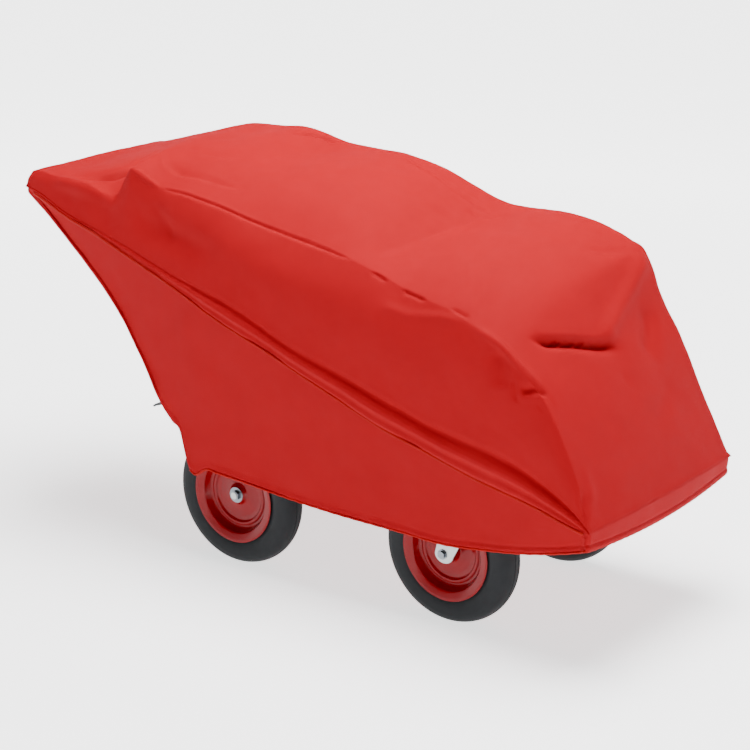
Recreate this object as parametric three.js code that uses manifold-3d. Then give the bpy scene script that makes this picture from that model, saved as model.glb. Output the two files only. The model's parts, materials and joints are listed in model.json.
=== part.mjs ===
// Six-seat push buggy under its fitted storage cover.
// Millimetres. +X is forward (nose), +Y is the buggy's left side, +Z is up.
// The origin is on the floor, under the middle of the whole object.
import * as THREE from 'three';
import { mergeVertices } from 'three/addons/utils/BufferGeometryUtils.js';
import Module from 'manifold-3d';

const wasm = await Module();
wasm.setup();

// ---------------------------------------------------------------- driving dimensions
const GAP = 0.3;                    // air between pieces that touch
const SIDES = { left: 1, right: -1 };

// wheels
const WHEEL_RADIUS = 200;
const TYRE_HALF_WIDTH = 41;
const RIM_LIP_RADIUS = 134;
const HUB_BORE = 14;
const WHEEL_STEPS = 20;

const REAR_AXLE_X = -220;
const REAR_WHEEL_Y = 269;
const REAR_AXLE_RADIUS = 10;
const REAR_HUB_OUT = 24;            // hub end outboard of the wheel's middle plane
const REAR_HUB_IN = 53;             // hub end inboard of it, against the hanger

const FRONT_AXLE_X = 489;
const FRONT_WHEEL_Y = 262;
const FRONT_HUB = 45.5;
const FRONT_BOLT_RADIUS = 6;
const CASTER_TRAIL = 55;
const KINGPIN_X = FRONT_AXLE_X + CASTER_TRAIL;
const KINGPIN_RADIUS = 8;
const FORK_INSIDE = 46;             // fork leg's inner face from the wheel's middle plane
const FORK_PLATE = 5;
const FORK_FOOT = 27;               // radius of the leg's round foot
const FORK_FOOT_AHEAD = 5;          // how far the foot's middle is ahead of the wheel bolt
const CROWN_Z = 406;                // underside of the fork crown

// underframe
const BEAM_Z = 425;                 // underside of the cross-beams
const BEAM_HEIGHT = 26.5;
const RAIL_Z = BEAM_Z + BEAM_HEIGHT + GAP;
const RAIL_HEIGHT = 26;
const RAIL_Y = 190;
const RAIL_WIDTH = 25;
const RAIL_REAR_X = -430;
const RAIL_FRONT_X = 740;
const HANGER_HALF_LENGTH = 30;
const HANGER_HALF_WIDTH = 215;
const HANGER_PLATE = 10;

// tub and seats
const FLOOR_Z = RAIL_Z + RAIL_HEIGHT + GAP;
const TUB_HALF_WIDTH = 285;
const TUB_WALL = 8;
const SEAT_HALF_WIDTH = 268;
const SEAT_WALL = 12;
const PAD = 34;
const ROWS = {
  rear: { hipX: -530, panZ: 790, topZ: 1040, panLength: 205 },
  middle: { hipX: -60, panZ: 730, topZ: 955, panLength: 205 },
  front: { hipX: 390, panZ: 640, topZ: 864, panLength: 195 },
};
const BACK_LEAN = 45;               // how far the top of a seat back leans behind its foot

// push handle
const HANDLE = { x: -938, z: 966 };
const HANDLE_TUBE_RADIUS = 12.5;
const GRIP_RADIUS = 15.5;
const GRIP_HALF_LENGTH = 185;

// brake
const BRAKE_SHAFT = { x: -340, z: 437 };
const BRAKE_SHAFT_RADIUS = 8;
const BRAKE_SHAFT_HALF_LENGTH = 298;
const SHOE_ANGLE = 122 * Math.PI / 180;   // where the shoe meets the tyre, from +X
const SHOE_REST_GAP = 7.5;
const SHOE_THICKNESS = 20;
const PEDAL_Y = -160;
const PEDAL_TIP = { x: -592, z: 356 };

// cover
const CLOTH = 3;
const COVER_LENGTH = 1946;
const NOSE_X = 960;                 // where the nose's corners are
const NOSE_BOW = COVER_LENGTH / 2 - NOSE_X;
const COVER_HALF_WIDTH = 356;
const HANDLE_END_HALF_WIDTH = 292;
const NARROWING_STARTS = -250;
const SIDE_LEAN = 8;                // how far the hem hangs inside the seam
const REAR_HEM_Z = 458;
const SEAM_ALLOWANCE = 3;           // air between the top's edge and the seam line, under the binding

// ---------------------------------------------------------------- materials
function material(color, roughness, metalness = 0) {
  return new THREE.MeshStandardMaterial({ color, roughness, metalness });
}

const LOOKS = {
  cover: material(0xd2232a, 0.75),
  binding: material(0xb81c24, 0.7),
  elastic: material(0xa8181f, 0.8),
  tub: material(0xc8242b, 0.4),
  seat: material(0x8f959b, 0.5),
  pad: material(0x3a4048, 0.85),
  frame: material(0x2b2d30, 0.5, 0.3),
  zinc: material(0xc9ccd0, 0.3, 0.9),
  rim: material(0xa81e26, 0.3, 0.2),
  tyre: material(0x2d2f32, 0.8),
  bush: material(0xd9d6cc, 0.6),
  grip: material(0x26282b, 0.9),
  shoe: material(0x38332f, 0.9),
};

const buggy = new THREE.Group();

function add(name, geometry, look) {
  const mesh = new THREE.Mesh(geometry, look);
  mesh.name = name;
  buggy.add(mesh);
}

// ---------------------------------------------------------------- solid helpers
function bare(geometry) {
  const copy = geometry.clone();
  copy.deleteAttribute('normal');
  copy.deleteAttribute('uv');
  return mergeVertices(copy, 1e-4);
}

function signedVolume(geometry) {
  const p = geometry.attributes.position;
  const index = geometry.index;
  const corner = [new THREE.Vector3(), new THREE.Vector3(), new THREE.Vector3()];
  let sum = 0;
  for (let i = 0; i < index.count; i += 3) {
    corner.forEach((c, k) => c.fromBufferAttribute(p, index.getX(i + k)));
    sum += corner[0].dot(corner[1].cross(corner[2]));
  }
  return sum;
}

// merged vertices, with every face turned outwards
function outward(geometry) {
  const solid = bare(geometry);
  if (signedVolume(solid) < 0) {
    const turned = Array.from(solid.index.array);
    for (let i = 0; i < turned.length; i += 3) {
      [turned[i], turned[i + 1]] = [turned[i + 1], turned[i]];
    }
    solid.setIndex(turned);
  }
  return solid;
}

function toManifold(geometry) {
  const solid = outward(geometry);
  const vertProperties = new Float32Array(solid.attributes.position.array);
  const triVerts = new Uint32Array(solid.index.array);
  return new wasm.Manifold(new wasm.Mesh({ numProp: 3, vertProperties, triVerts }));
}

function toGeometry(manifold) {
  const mesh = manifold.getMesh();
  const geometry = new THREE.BufferGeometry();
  geometry.setAttribute('position', new THREE.Float32BufferAttribute(mesh.vertProperties, 3));
  geometry.setIndex(Array.from(mesh.triVerts));
  return geometry;
}

function cut(geometry, ...tools) {
  return toGeometry(tools.reduce((body, tool) => body.subtract(toManifold(tool)), toManifold(geometry)));
}

function join(geometry, ...others) {
  return toGeometry(others.reduce((body, other) => body.add(toManifold(other)), toManifold(geometry)));
}

function common(a, b) {
  return toGeometry(toManifold(a).intersect(toManifold(b)));
}

function box(low, high) {
  const size = high.map((h, k) => h - low[k]);
  const middle = high.map((h, k) => (h + low[k]) / 2);
  return outward(new THREE.BoxGeometry(...size).translate(...middle));
}

// an outline in X and Z, pulled out along Y from yLow to yHigh
function slabXZ(points, yLow, yHigh) {
  const corners = () => points.map(([x, z]) => new THREE.Vector2(x, z));
  const shape = points instanceof THREE.Shape ? points : new THREE.Shape(corners());
  const settings = { depth: yHigh - yLow, bevelEnabled: false, curveSegments: 10 };
  const geometry = new THREE.ExtrudeGeometry(shape, settings);
  return outward(geometry.rotateX(Math.PI / 2).translate(0, yHigh, 0));
}

// an outline in Y and Z, pulled out along X from xLow to xHigh
function slabYZ(points, xLow, xHigh) {
  const shape = new THREE.Shape(points.map(([y, z]) => new THREE.Vector2(y, z)));
  const geometry = new THREE.ExtrudeGeometry(shape, { depth: xHigh - xLow, bevelEnabled: false });
  return outward(geometry.rotateX(Math.PI / 2).rotateZ(Math.PI / 2).translate(xLow, 0, 0));
}

// a rod along Y
function rodY(radius, x, z, yLow, yHigh, steps = 20) {
  const geometry = new THREE.CylinderGeometry(radius, radius, yHigh - yLow, steps);
  return outward(geometry.translate(x, (yLow + yHigh) / 2, z));
}

// a rod along Z
function rodZ(radius, x, y, zLow, zHigh, steps = 20) {
  const geometry = new THREE.CylinderGeometry(radius, radius, zHigh - zLow, steps);
  return outward(geometry.rotateX(Math.PI / 2).translate(x, y, (zLow + zHigh) / 2));
}

// a ring about Y: the section is a closed list of [radius, distance along the axle]
function ringY(section, x, y, z, steps = WHEEL_STEPS) {
  const outline = [...section, section[0]].map(([r, a]) => new THREE.Vector2(r, a));
  return outward(new THREE.LatheGeometry(outline, steps).translate(x, y, z));
}

function ringZ(inner, outer, x, y, zLow, zHigh, steps = 24) {
  return cut(rodZ(outer, x, y, zLow, zHigh, steps), rodZ(inner, x, y, zLow - 1, zHigh + 1, steps));
}

// a tube of round section along a smooth curve through the points
function tube(points, radius, steps, sides = 10) {
  const path = new THREE.CatmullRomCurve3(points.map((p) => new THREE.Vector3(...p)), false, 'centripetal');
  const section = new THREE.Shape();
  for (let i = 0; i < sides; i += 1) {
    const angle = i / sides * 2 * Math.PI;
    const corner = [radius * Math.cos(angle), radius * Math.sin(angle)];
    if (i === 0) section.moveTo(...corner);
    else section.lineTo(...corner);
  }
  return outward(new THREE.ExtrudeGeometry(section, { steps, extrudePath: path, bevelEnabled: false }));
}

// a value that follows [position, value] pairs smoothly
function through(pairs) {
  const slope = pairs.map((pair, i) => {
    const before = pairs[Math.max(i - 1, 0)];
    const after = pairs[Math.min(i + 1, pairs.length - 1)];
    return (after[1] - before[1]) / (after[0] - before[0]);
  });
  return (x) => {
    if (x <= pairs[0][0]) return pairs[0][1];
    if (x >= pairs[pairs.length - 1][0]) return pairs[pairs.length - 1][1];
    const i = pairs.findIndex((pair) => pair[0] > x) - 1;
    const width = pairs[i + 1][0] - pairs[i][0];
    const t = (x - pairs[i][0]) / width;
    const a = pairs[i][1];
    const b = pairs[i + 1][1];
    const rise = t * t * (3 - 2 * t);
    return a + (b - a) * rise + width * t * (1 - t) * (slope[i] * (1 - t) - slope[i + 1] * t);
  };
}

// cloth: a grid of points given by at(i, j), thickened inwards, as one closed solid
function cloth(at, rows, columns, inside, thickness = CLOTH) {
  const outer = [];
  for (let i = 0; i <= rows; i += 1) {
    for (let j = 0; j <= columns; j += 1) outer.push(at(i / rows, j / columns));
  }
  const index = (i, j) => i * (columns + 1) + j;
  const inner = outer.map((point, k) => {
    const i = Math.floor(k / (columns + 1));
    const j = k % (columns + 1);
    const along = outer[index(Math.min(i + 1, rows), j)].clone().sub(outer[index(Math.max(i - 1, 0), j)]);
    const across = outer[index(i, Math.min(j + 1, columns))].clone().sub(outer[index(i, Math.max(j - 1, 0))]);
    const normal = along.cross(across).normalize();
    if (normal.dot(inside.clone().sub(point)) < 0) normal.negate();
    return point.clone().addScaledVector(normal, thickness);
  });
  const points = [...outer, ...inner];
  const faces = [];
  const quad = (a, b, c, d) => faces.push(a, b, c, a, c, d);
  const half = outer.length;
  for (let i = 0; i < rows; i += 1) {
    for (let j = 0; j < columns; j += 1) {
      const [a, b, c, d] = [index(i, j), index(i + 1, j), index(i + 1, j + 1), index(i, j + 1)];
      quad(a, b, c, d);
      quad(half + d, half + c, half + b, half + a);
    }
  }
  const rim = [];
  for (let j = 0; j < columns; j += 1) rim.push(index(0, j));
  for (let i = 0; i < rows; i += 1) rim.push(index(i, columns));
  for (let j = columns; j > 0; j -= 1) rim.push(index(rows, j));
  for (let i = rows; i > 0; i -= 1) rim.push(index(i, 0));
  rim.forEach((a, k) => {
    const b = rim[(k + 1) % rim.length];
    quad(a, b, half + b, half + a);
  });
  const geometry = new THREE.BufferGeometry();
  geometry.setAttribute('position', new THREE.Float32BufferAttribute(points.flatMap((p) => p.toArray()), 3));
  geometry.setIndex(faces);
  return outward(geometry);
}

// ---------------------------------------------------------------- underframe
function buildUnderframe() {
  const beamTop = BEAM_Z + BEAM_HEIGHT;
  for (const [side, sign] of Object.entries(SIDES)) {
    const middle = sign * RAIL_Y;
    const low = [RAIL_REAR_X, middle - RAIL_WIDTH / 2, RAIL_Z];
    const high = [RAIL_FRONT_X, middle + RAIL_WIDTH / 2, RAIL_Z + RAIL_HEIGHT];
    add(`frame_rail_${side}`, box(low, high), LOOKS.frame);
  }
  const beamHalfWidth = FRONT_WHEEL_Y + 58;
  const beamLow = [KINGPIN_X - 35, -beamHalfWidth, BEAM_Z];
  const beamHigh = [KINGPIN_X + 35, beamHalfWidth, beamTop];
  add('front_cross_beam', box(beamLow, beamHigh), LOOKS.frame);

  const outside = HANGER_HALF_WIDTH;
  const inside = HANGER_HALF_WIDTH - HANGER_PLATE;
  const foot = WHEEL_RADIUS - 24;
  const section = [
    [-outside, foot], [-outside, beamTop], [outside, beamTop], [outside, foot],
    [inside, foot], [inside, BEAM_Z], [-inside, BEAM_Z], [-inside, foot],
  ];
  const hanger = slabYZ(section, REAR_AXLE_X - HANGER_HALF_LENGTH, REAR_AXLE_X + HANGER_HALF_LENGTH);
  const bore = rodY(REAR_AXLE_RADIUS + GAP, REAR_AXLE_X, WHEEL_RADIUS, -outside - 5, outside + 5);
  add('rear_axle_hanger', cut(hanger, bore), LOOKS.frame);
  const axleEnd = REAR_WHEEL_Y + 36;
  add('rear_axle', rodY(REAR_AXLE_RADIUS, REAR_AXLE_X, WHEEL_RADIUS, -axleEnd, axleEnd), LOOKS.zinc);
}

// ---------------------------------------------------------------- tub and seats
function buildTub() {
  const outer = [
    [-650, 930], [-452, FLOOR_Z], [770, FLOOR_Z], [800, 425], [905, 400], [914, 430],
    [878, 500], [775, 680], [715, 752], [682, 752], [620, 715], [0, 800], [-560, 880], [-610, 935],
  ];
  const inner = [
    [-640, 1010], [-640, 915], [-447, FLOOR_Z + TUB_WALL], [778, FLOOR_Z + TUB_WALL],
    [806, 433], [899, 409], [904, 430],
    [870, 496], [768, 675], [704, 745], [690, 1010],
  ];
  const shell = slabXZ(outer, -TUB_HALF_WIDTH, TUB_HALF_WIDTH);
  const room = slabXZ(inner, TUB_WALL - TUB_HALF_WIDTH, TUB_HALF_WIDTH - TUB_WALL);
  const ahead = [[-640, 400], [930, 400], [930, 1010], [-640, 1010]];
  add('tub', cut(shell, common(room, slabXZ(ahead, -400, 400))), LOOKS.tub);
}

// the outline of a strip of even thickness that follows the points
function strip(points, thickness) {
  const turn = points.map(([x, z], i) => {
    const [bx, bz] = points[Math.max(i - 1, 0)];
    const [ax, az] = points[Math.min(i + 1, points.length - 1)];
    const before = new THREE.Vector2(x - bx, z - bz).normalize();
    const after = new THREE.Vector2(ax - x, az - z).normalize();
    const along = before.clone().add(after).normalize();
    const half = i > 0 && i < points.length - 1 ? along.dot(after) : 1;
    return [x - along.y * thickness / half, z + along.x * thickness / half];
  });
  return [...points, ...turn.reverse()];
}

function buildSeats() {
  for (const [row, seat] of Object.entries(ROWS)) {
    const front = seat.hipX + seat.panLength;
    const floor = FLOOR_Z + TUB_WALL + 3 * GAP;
    const path = [
      [seat.hipX - BACK_LEAN, seat.topZ],
      [seat.hipX, seat.panZ],
      [front, seat.panZ + 12],
      [front + 12, seat.panZ - 6],
      [front + 16, floor],
    ];
    add(`seat_shell_${row}`, slabXZ(strip(path, -SEAT_WALL), -SEAT_HALF_WIDTH, SEAT_HALF_WIDTH), LOOKS.seat);
    const padWidth = SEAT_HALF_WIDTH - 8;
    const seatPad = [
      [seat.hipX + 46, seat.panZ + 4], [front - 6, seat.panZ + 13], [front + 2, seat.panZ + 24],
      [front - 10, seat.panZ + 12 + PAD], [seat.hipX + 60, seat.panZ + PAD], [seat.hipX + 44, seat.panZ + 24],
    ];
    add(`seat_pad_${row}`, slabXZ(seatPad, -padWidth, padWidth), LOOKS.pad);
    const lean = BACK_LEAN / (seat.topZ - seat.panZ);
    const face = (z, depth) => [seat.hipX - lean * (z - seat.panZ) + 1 + depth, z];
    const low = seat.panZ + 14;
    const high = seat.topZ - 12;
    const backPad = [
      face(low, 0), face(low + 2, PAD - 6), face(low + 26, PAD),
      face(high - 24, PAD), face(high - 4, PAD - 14), face(high, 0),
    ];
    add(`back_pad_${row}`, slabXZ(backPad, -padWidth, padWidth), LOOKS.pad);
  }
}

// ---------------------------------------------------------------- push handle
function buildHandle() {
  const legY = TUB_HALF_WIDTH + HANDLE_TUBE_RADIUS + 1.5;
  const half = [
    [HANDLE.x, 100, HANDLE.z], [HANDLE.x, 200, HANDLE.z], [HANDLE.x, 217, HANDLE.z],
    [HANDLE.x + 14, 247, HANDLE.z - 5], [HANDLE.x + 60, 266, HANDLE.z - 20],
    [-760, 284, 906], [-640, legY, 866], [-520, legY, 826], [-400, legY, 786],
  ];
  const mirrored = half.map(([x, y, z]) => [x, -y, z]).reverse();
  const path = [...mirrored, [HANDLE.x, 0, HANDLE.z], ...half];
  add('push_handle', tube(path, HANDLE_TUBE_RADIUS, 38, 8), LOOKS.zinc);
  const reach = GRIP_HALF_LENGTH;
  const foam = rodY(GRIP_RADIUS, HANDLE.x, HANDLE.z, -reach, reach, 16);
  const bore = rodY(HANDLE_TUBE_RADIUS + 2 * GAP, HANDLE.x, HANDLE.z, -reach - 1, reach + 1, 16);
  add('handle_grip', cut(foam, bore), LOOKS.grip);

  // a saddle is a strap with two flat ears, bent over the handle's leg against the tub's side
  const inner = HANDLE_TUBE_RADIUS + 0.8;
  const outer = inner + 3;
  const wall = -(HANDLE_TUBE_RADIUS + 1.5) + GAP;
  const arch = (radius, from, to) => {
    const points = [];
    for (let k = 0; k <= 8; k += 1) {
      const angle = from + (to - from) * k / 8;
      points.push([radius * Math.cos(angle), radius * Math.sin(angle)]);
    }
    return points;
  };
  const section = [
    [wall, -34], [wall + 3, -34], [wall + 3, -outer], ...arch(outer, -Math.PI / 2, Math.PI / 2),
    [wall + 3, outer], [wall + 3, 34], [wall, 34], [wall, inner],
    ...arch(inner, Math.PI / 2, -Math.PI / 2), [wall, -inner],
  ];
  const slope = Math.atan2(866 - 786, 240);
  for (const [side, sign] of Object.entries(SIDES)) {
    const saddle = slabYZ(section.map(([y, z]) => [sign * y, z]), -30, 30);
    saddle.rotateY(slope).translate(-500, sign * legY, 819.3);
    add(`handle_saddle_${side}`, outward(saddle), LOOKS.zinc);
  }
}

// ---------------------------------------------------------------- foot brake
function buildBrake() {
  const { x, z } = BRAKE_SHAFT;
  const normal = [Math.cos(SHOE_ANGLE), Math.sin(SHOE_ANGLE)];
  const tread = [REAR_AXLE_X + WHEEL_RADIUS * normal[0], WHEEL_RADIUS * (1 + normal[1])];
  // a point at a distance along the tread and a distance out from it
  const fromTread = (along, out) => [
    tread[0] + normal[0] * out + normal[1] * along,
    tread[1] + normal[1] * out - normal[0] * along,
  ];
  const back = SHOE_REST_GAP + SHOE_THICKNESS;
  const arms = [];
  for (const [side, sign] of Object.entries(SIDES)) {
    const y = sign * REAR_WHEEL_Y;
    const face = SHOE_REST_GAP;
    const shoe = [fromTread(-24, face), fromTread(24, face), fromTread(22, back), fromTread(-22, back)];
    add(`brake_shoe_${side}`, slabXZ(shoe, y - 24, y + 24), LOOKS.shoe);
    const foot = [fromTread(-20, back + GAP), fromTread(20, back + GAP)];
    const arm = [...foot, [x + 12, z - 2], [x, z + 11], [x - 12, z - 2]];
    arms.push(slabXZ(arm, y - 16, y + 16));
    const bearing = box([x - 16, sign * RAIL_Y - 10, z - 16], [x + 16, sign * RAIL_Y + 10, RAIL_Z - GAP]);
    const bore = rodY(BRAKE_SHAFT_RADIUS + GAP, x, z, sign * RAIL_Y - 20, sign * RAIL_Y + 20);
    add(`brake_bearing_${side}`, cut(bearing, bore), LOOKS.frame);
  }
  const padBack = { x: PEDAL_TIP.x + 8, z: PEDAL_TIP.z };
  const arm = [
    [x + 10, z - 9], [x + 8, z + 10], [x - 12, z + 9], [-470, 408], [padBack.x + 70, padBack.z + 24],
    [padBack.x, padBack.z + 6], [padBack.x, padBack.z - 1], [padBack.x + 76, padBack.z + 12], [-466, 394],
  ];
  const shaft = rodY(BRAKE_SHAFT_RADIUS, x, z, -BRAKE_SHAFT_HALF_LENGTH, BRAKE_SHAFT_HALF_LENGTH, 16);
  add('brake_shaft', join(shaft, ...arms, slabXZ(arm, PEDAL_Y - 9, PEDAL_Y + 9)), LOOKS.frame);

  // the tread plate lies on the arm's end and turns down at its tip
  const lift = 6 + GAP;
  const plate = [
    [PEDAL_TIP.x, PEDAL_TIP.z + 2], [padBack.x, padBack.z + lift], [padBack.x + 66, padBack.z + 23 + lift],
    [padBack.x + 64, padBack.z + 29 + lift], [padBack.x - 3, padBack.z + lift + 6],
    [PEDAL_TIP.x - 6, PEDAL_TIP.z + 4],
  ];
  add('brake_pedal', slabXZ(plate, PEDAL_Y - 45, PEDAL_Y + 45), LOOKS.frame);
}

// ---------------------------------------------------------------- wheels
function rimSection(hubOut, hubIn) {
  return [
    [HUB_BORE, -hubIn], [HUB_BORE, hubOut], [26, hubOut], [27, 12], [66, 9], [95, 19],
    [108, 34], [RIM_LIP_RADIUS, 39], [119, 34.5], [113, 28], [113, -28], [119, -34.5],
    [RIM_LIP_RADIUS, -39], [107, -33], [104, 16], [66, 4], [26, 4], [26, -hubIn],
  ];
}

function tyreSection() {
  const half = [
    [118, 30.5], [133, 34], [142, 39], [160, TYRE_HALF_WIDTH], [182, 36], [196, 20], [WHEEL_RADIUS, 5],
  ];
  return [...half, ...half.map(([r, a]) => [r, -a]).reverse()];
}

function flip(section, sign) {
  return section.map(([r, a]) => [r, sign * a]);
}

function hexagon(acrossFlats) {
  const shape = [];
  for (let k = 0; k < 6; k += 1) {
    const angle = (k + 0.5) * Math.PI / 3;
    shape.push([acrossFlats / Math.sqrt(3) * Math.cos(angle), acrossFlats / Math.sqrt(3) * Math.sin(angle)]);
  }
  return shape;
}

// a hexagonal head or nut with its washer, along Y, on the outer side of a face
function hexWithWasher(x, z, faceY, sign, acrossFlats, height, washerRadius) {
  const washer = 2;
  const corners = hexagon(acrossFlats).map(([cx, cz]) => [x + cx, z + cz]);
  const reach = [faceY + sign * (washer - 0.5), faceY + sign * height].sort((a, b) => a - b);
  const disc = [faceY, faceY + sign * washer].sort((a, b) => a - b);
  return join(slabXZ(corners, ...reach), rodY(washerRadius, x, z, ...disc));
}

function buildRearWheels() {
  for (const [side, sign] of Object.entries(SIDES)) {
    const y = sign * REAR_WHEEL_Y;
    const place = [REAR_AXLE_X, y, WHEEL_RADIUS];
    add(`rear_tyre_${side}`, ringY(tyreSection(), ...place), LOOKS.tyre);
    add(`rear_rim_${side}`, ringY(flip(rimSection(REAR_HUB_OUT, REAR_HUB_IN), sign), ...place), LOOKS.rim);
    const bush = [
      [REAR_AXLE_RADIUS + GAP, -REAR_HUB_IN], [REAR_AXLE_RADIUS + GAP, REAR_HUB_OUT],
      [HUB_BORE - GAP, REAR_HUB_OUT], [HUB_BORE - GAP, -REAR_HUB_IN],
    ];
    add(`rear_hub_bush_${side}`, ringY(flip(bush, sign), ...place), LOOKS.bush);
    const face = y + sign * (REAR_HUB_OUT + GAP);
    const nut = hexWithWasher(REAR_AXLE_X, WHEEL_RADIUS, face, sign, 26, 9, 22);
    const thread = rodY(REAR_AXLE_RADIUS + GAP, REAR_AXLE_X, WHEEL_RADIUS, y - 60, y + 60);
    add(`rear_axle_nut_${side}`, cut(nut, thread), LOOKS.zinc);
  }
}

// ---------------------------------------------------------------- front casters
function forkOutline() {
  const shape = new THREE.Shape();
  const middle = FRONT_AXLE_X + FORK_FOOT_AHEAD;
  shape.moveTo(middle - FORK_FOOT, WHEEL_RADIUS);
  shape.absarc(middle, WHEEL_RADIUS, FORK_FOOT, Math.PI, 2 * Math.PI, false);
  shape.lineTo(KINGPIN_X + 42, CROWN_Z - 90);
  shape.lineTo(KINGPIN_X + 46, CROWN_Z + FORK_PLATE);
  shape.lineTo(KINGPIN_X - 46, CROWN_Z + FORK_PLATE);
  shape.lineTo(KINGPIN_X - 46, CROWN_Z - 70);
  return shape;
}

function buildCasters() {
  const bearingTop = BEAM_Z - 6 - 2 * GAP;
  for (const [side, sign] of Object.entries(SIDES)) {
    const y = sign * FRONT_WHEEL_Y;
    const plateLow = BEAM_Z - GAP - 6;
    const plate = box([KINGPIN_X - 50, y - 46, plateLow], [KINGPIN_X + 50, y + 46, BEAM_Z - GAP]);
    const pinHole = rodZ(KINGPIN_RADIUS + GAP, KINGPIN_X, y, 380, 460);
    add(`caster_plate_${side}`, cut(plate, pinHole), LOOKS.zinc);
    const raceLow = CROWN_Z + FORK_PLATE + GAP;
    const race = ringZ(KINGPIN_RADIUS + GAP, 32, KINGPIN_X, y, raceLow, bearingTop);
    add(`swivel_bearing_${side}`, race, LOOKS.zinc);
    const pin = rodZ(KINGPIN_RADIUS, KINGPIN_X, y, CROWN_Z - 3, BEAM_Z - GAP);
    add(`kingpin_${side}`, join(pin, rodZ(14, KINGPIN_X, y, CROWN_Z - 6.5, CROWN_Z - GAP)), LOOKS.zinc);

    const wide = FORK_INSIDE + FORK_PLATE;
    const crownTop = CROWN_Z + FORK_PLATE;
    const foot = WHEEL_RADIUS - 40;
    const section = [
      [y - wide, foot], [y - wide, crownTop], [y + wide, crownTop], [y + wide, foot],
      [y + FORK_INSIDE, foot], [y + FORK_INSIDE, CROWN_Z],
      [y - FORK_INSIDE, CROWN_Z], [y - FORK_INSIDE, foot],
    ];
    const bent = slabYZ(section, FRONT_AXLE_X - 60, KINGPIN_X + 80);
    const fork = common(bent, slabXZ(forkOutline(), y - 80, y + 80));
    const boltHole = rodY(FRONT_BOLT_RADIUS + GAP, FRONT_AXLE_X, WHEEL_RADIUS, y - 80, y + 80);
    add(`caster_fork_${side}`, cut(fork, boltHole, pinHole), LOOKS.zinc);

    const outboard = y + sign * (wide + GAP);
    const inboard = y - sign * (wide + GAP);
    const shank = [inboard - sign * 9, outboard + sign * 1].sort((a, b) => a - b);
    const bolt = rodY(FRONT_BOLT_RADIUS, FRONT_AXLE_X, WHEEL_RADIUS, ...shank);
    const head = hexWithWasher(FRONT_AXLE_X, WHEEL_RADIUS, outboard, sign, 19, 8, 14);
    add(`caster_axle_bolt_${side}`, join(bolt, head), LOOKS.zinc);
    const nut = hexWithWasher(FRONT_AXLE_X, WHEEL_RADIUS, inboard, -sign, 19, 8, 14);
    const nutBore = rodY(FRONT_BOLT_RADIUS + GAP, FRONT_AXLE_X, WHEEL_RADIUS, y - 90, y + 90);
    add(`caster_axle_nut_${side}`, cut(nut, nutBore), LOOKS.zinc);

    const place = [FRONT_AXLE_X, y, WHEEL_RADIUS];
    add(`front_tyre_${side}`, ringY(tyreSection(), ...place), LOOKS.tyre);
    add(`front_rim_${side}`, ringY(flip(rimSection(FRONT_HUB, FRONT_HUB), sign), ...place), LOOKS.rim);
    const sleeve = [
      [FRONT_BOLT_RADIUS + GAP, -FRONT_HUB], [FRONT_BOLT_RADIUS + GAP, FRONT_HUB],
      [HUB_BORE - GAP, FRONT_HUB], [HUB_BORE - GAP, -FRONT_HUB],
    ];
    add(`front_hub_sleeve_${side}`, ringY(sleeve, ...place), LOOKS.bush);
  }
}

// ---------------------------------------------------------------- fitted cover
// The cover is pulled down more on the right, so its top is described by three lines along it.
const rightShoulder = through([
  [-960, 978], [-900, 996], [-820, 1006], [-740, 1004], [-670, 990], [-592, 1050], [-560, 1064], [-435, 1040],
  [-350, 1040], [-270, 1028], [-140, 998], [30, 964], [200, 946], [280, 926], [370, 894], [440, 880],
  [520, 866], [580, 840], [660, 812], [700, 786], [750, 746], [820, 676], [900, 530], [935, 448], [960, 384],
]);
const middleHeight = through([
  [-960, 978], [-900, 1000], [-800, 1026], [-730, 1046], [-660, 1074], [-600, 1100], [-500, 1113],
  [-400, 1110],
  [-320, 1099], [-250, 1094], [-150, 1094], [-50, 1084], [60, 1055], [150, 1016], [230, 974], [280, 966],
  [350, 974], [450, 978], [550, 964], [640, 934], [700, 895], [745, 835], [820, 715], [890, 575], [935, 462],
  [960, 384],
]);
const leftShoulder = through([
  [-960, 978], [-890, 1008], [-810, 1036], [-730, 1060], [-620, 1095], [-500, 1106], [-430, 1112],
  [-350, 1106],
  [-280, 1091], [-140, 1089], [0, 1074], [70, 1060], [135, 1038], [200, 1015], [270, 994], [400, 997],
  [530, 992], [600, 978], [660, 960], [705, 932], [745, 862], [810, 735], [875, 590], [930, 462], [960, 384],
]);
const shoulderHalfWidth = through([
  [-960, 262], [-800, 284], [-600, 296], [-200, 308], [400, 314], [700, 322], [960, 345],
]);

const hemHeight = through([
  [-955, 955], [-900, 908], [-833, 858], [-751, 800], [-674, 739], [-598, 661], [-523, 559], [-450, 440],
  [-408, 395], [-376, 362], [-356, 290], [-275, 279], [-150, 270], [-10, 259], [125, 252], [390, 248],
  [515, 246], [640, 260], [760, 279], [880, 308], [958, 332],
]);

function seamHeight(x) {
  return 658 - 0.3113 * x + 1.94e-5 * x * x;
}

function seamHalfWidth(x) {
  const t = Math.max(0, (NARROWING_STARTS - x) / (NARROWING_STARTS + NOSE_X));
  return COVER_HALF_WIDTH - (COVER_HALF_WIDTH - HANDLE_END_HALF_WIDTH) * t ** 1.5;
}

function smooth(t) {
  const c = Math.min(1, Math.max(0, t));
  return c * c * (3 - 2 * c);
}

// both ends of the top bow outwards in the middle
function bowed(x, y) {
  const nose = smooth((x - 700) / (NOSE_X - 700)) * NOSE_BOW * (1 - (y / COVER_HALF_WIDTH) ** 2);
  const tail = smooth((-880 - x) / 80) * NOSE_BOW * (1 - (y / HANDLE_END_HALF_WIDTH) ** 6);
  return x + nose - tail;
}

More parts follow.
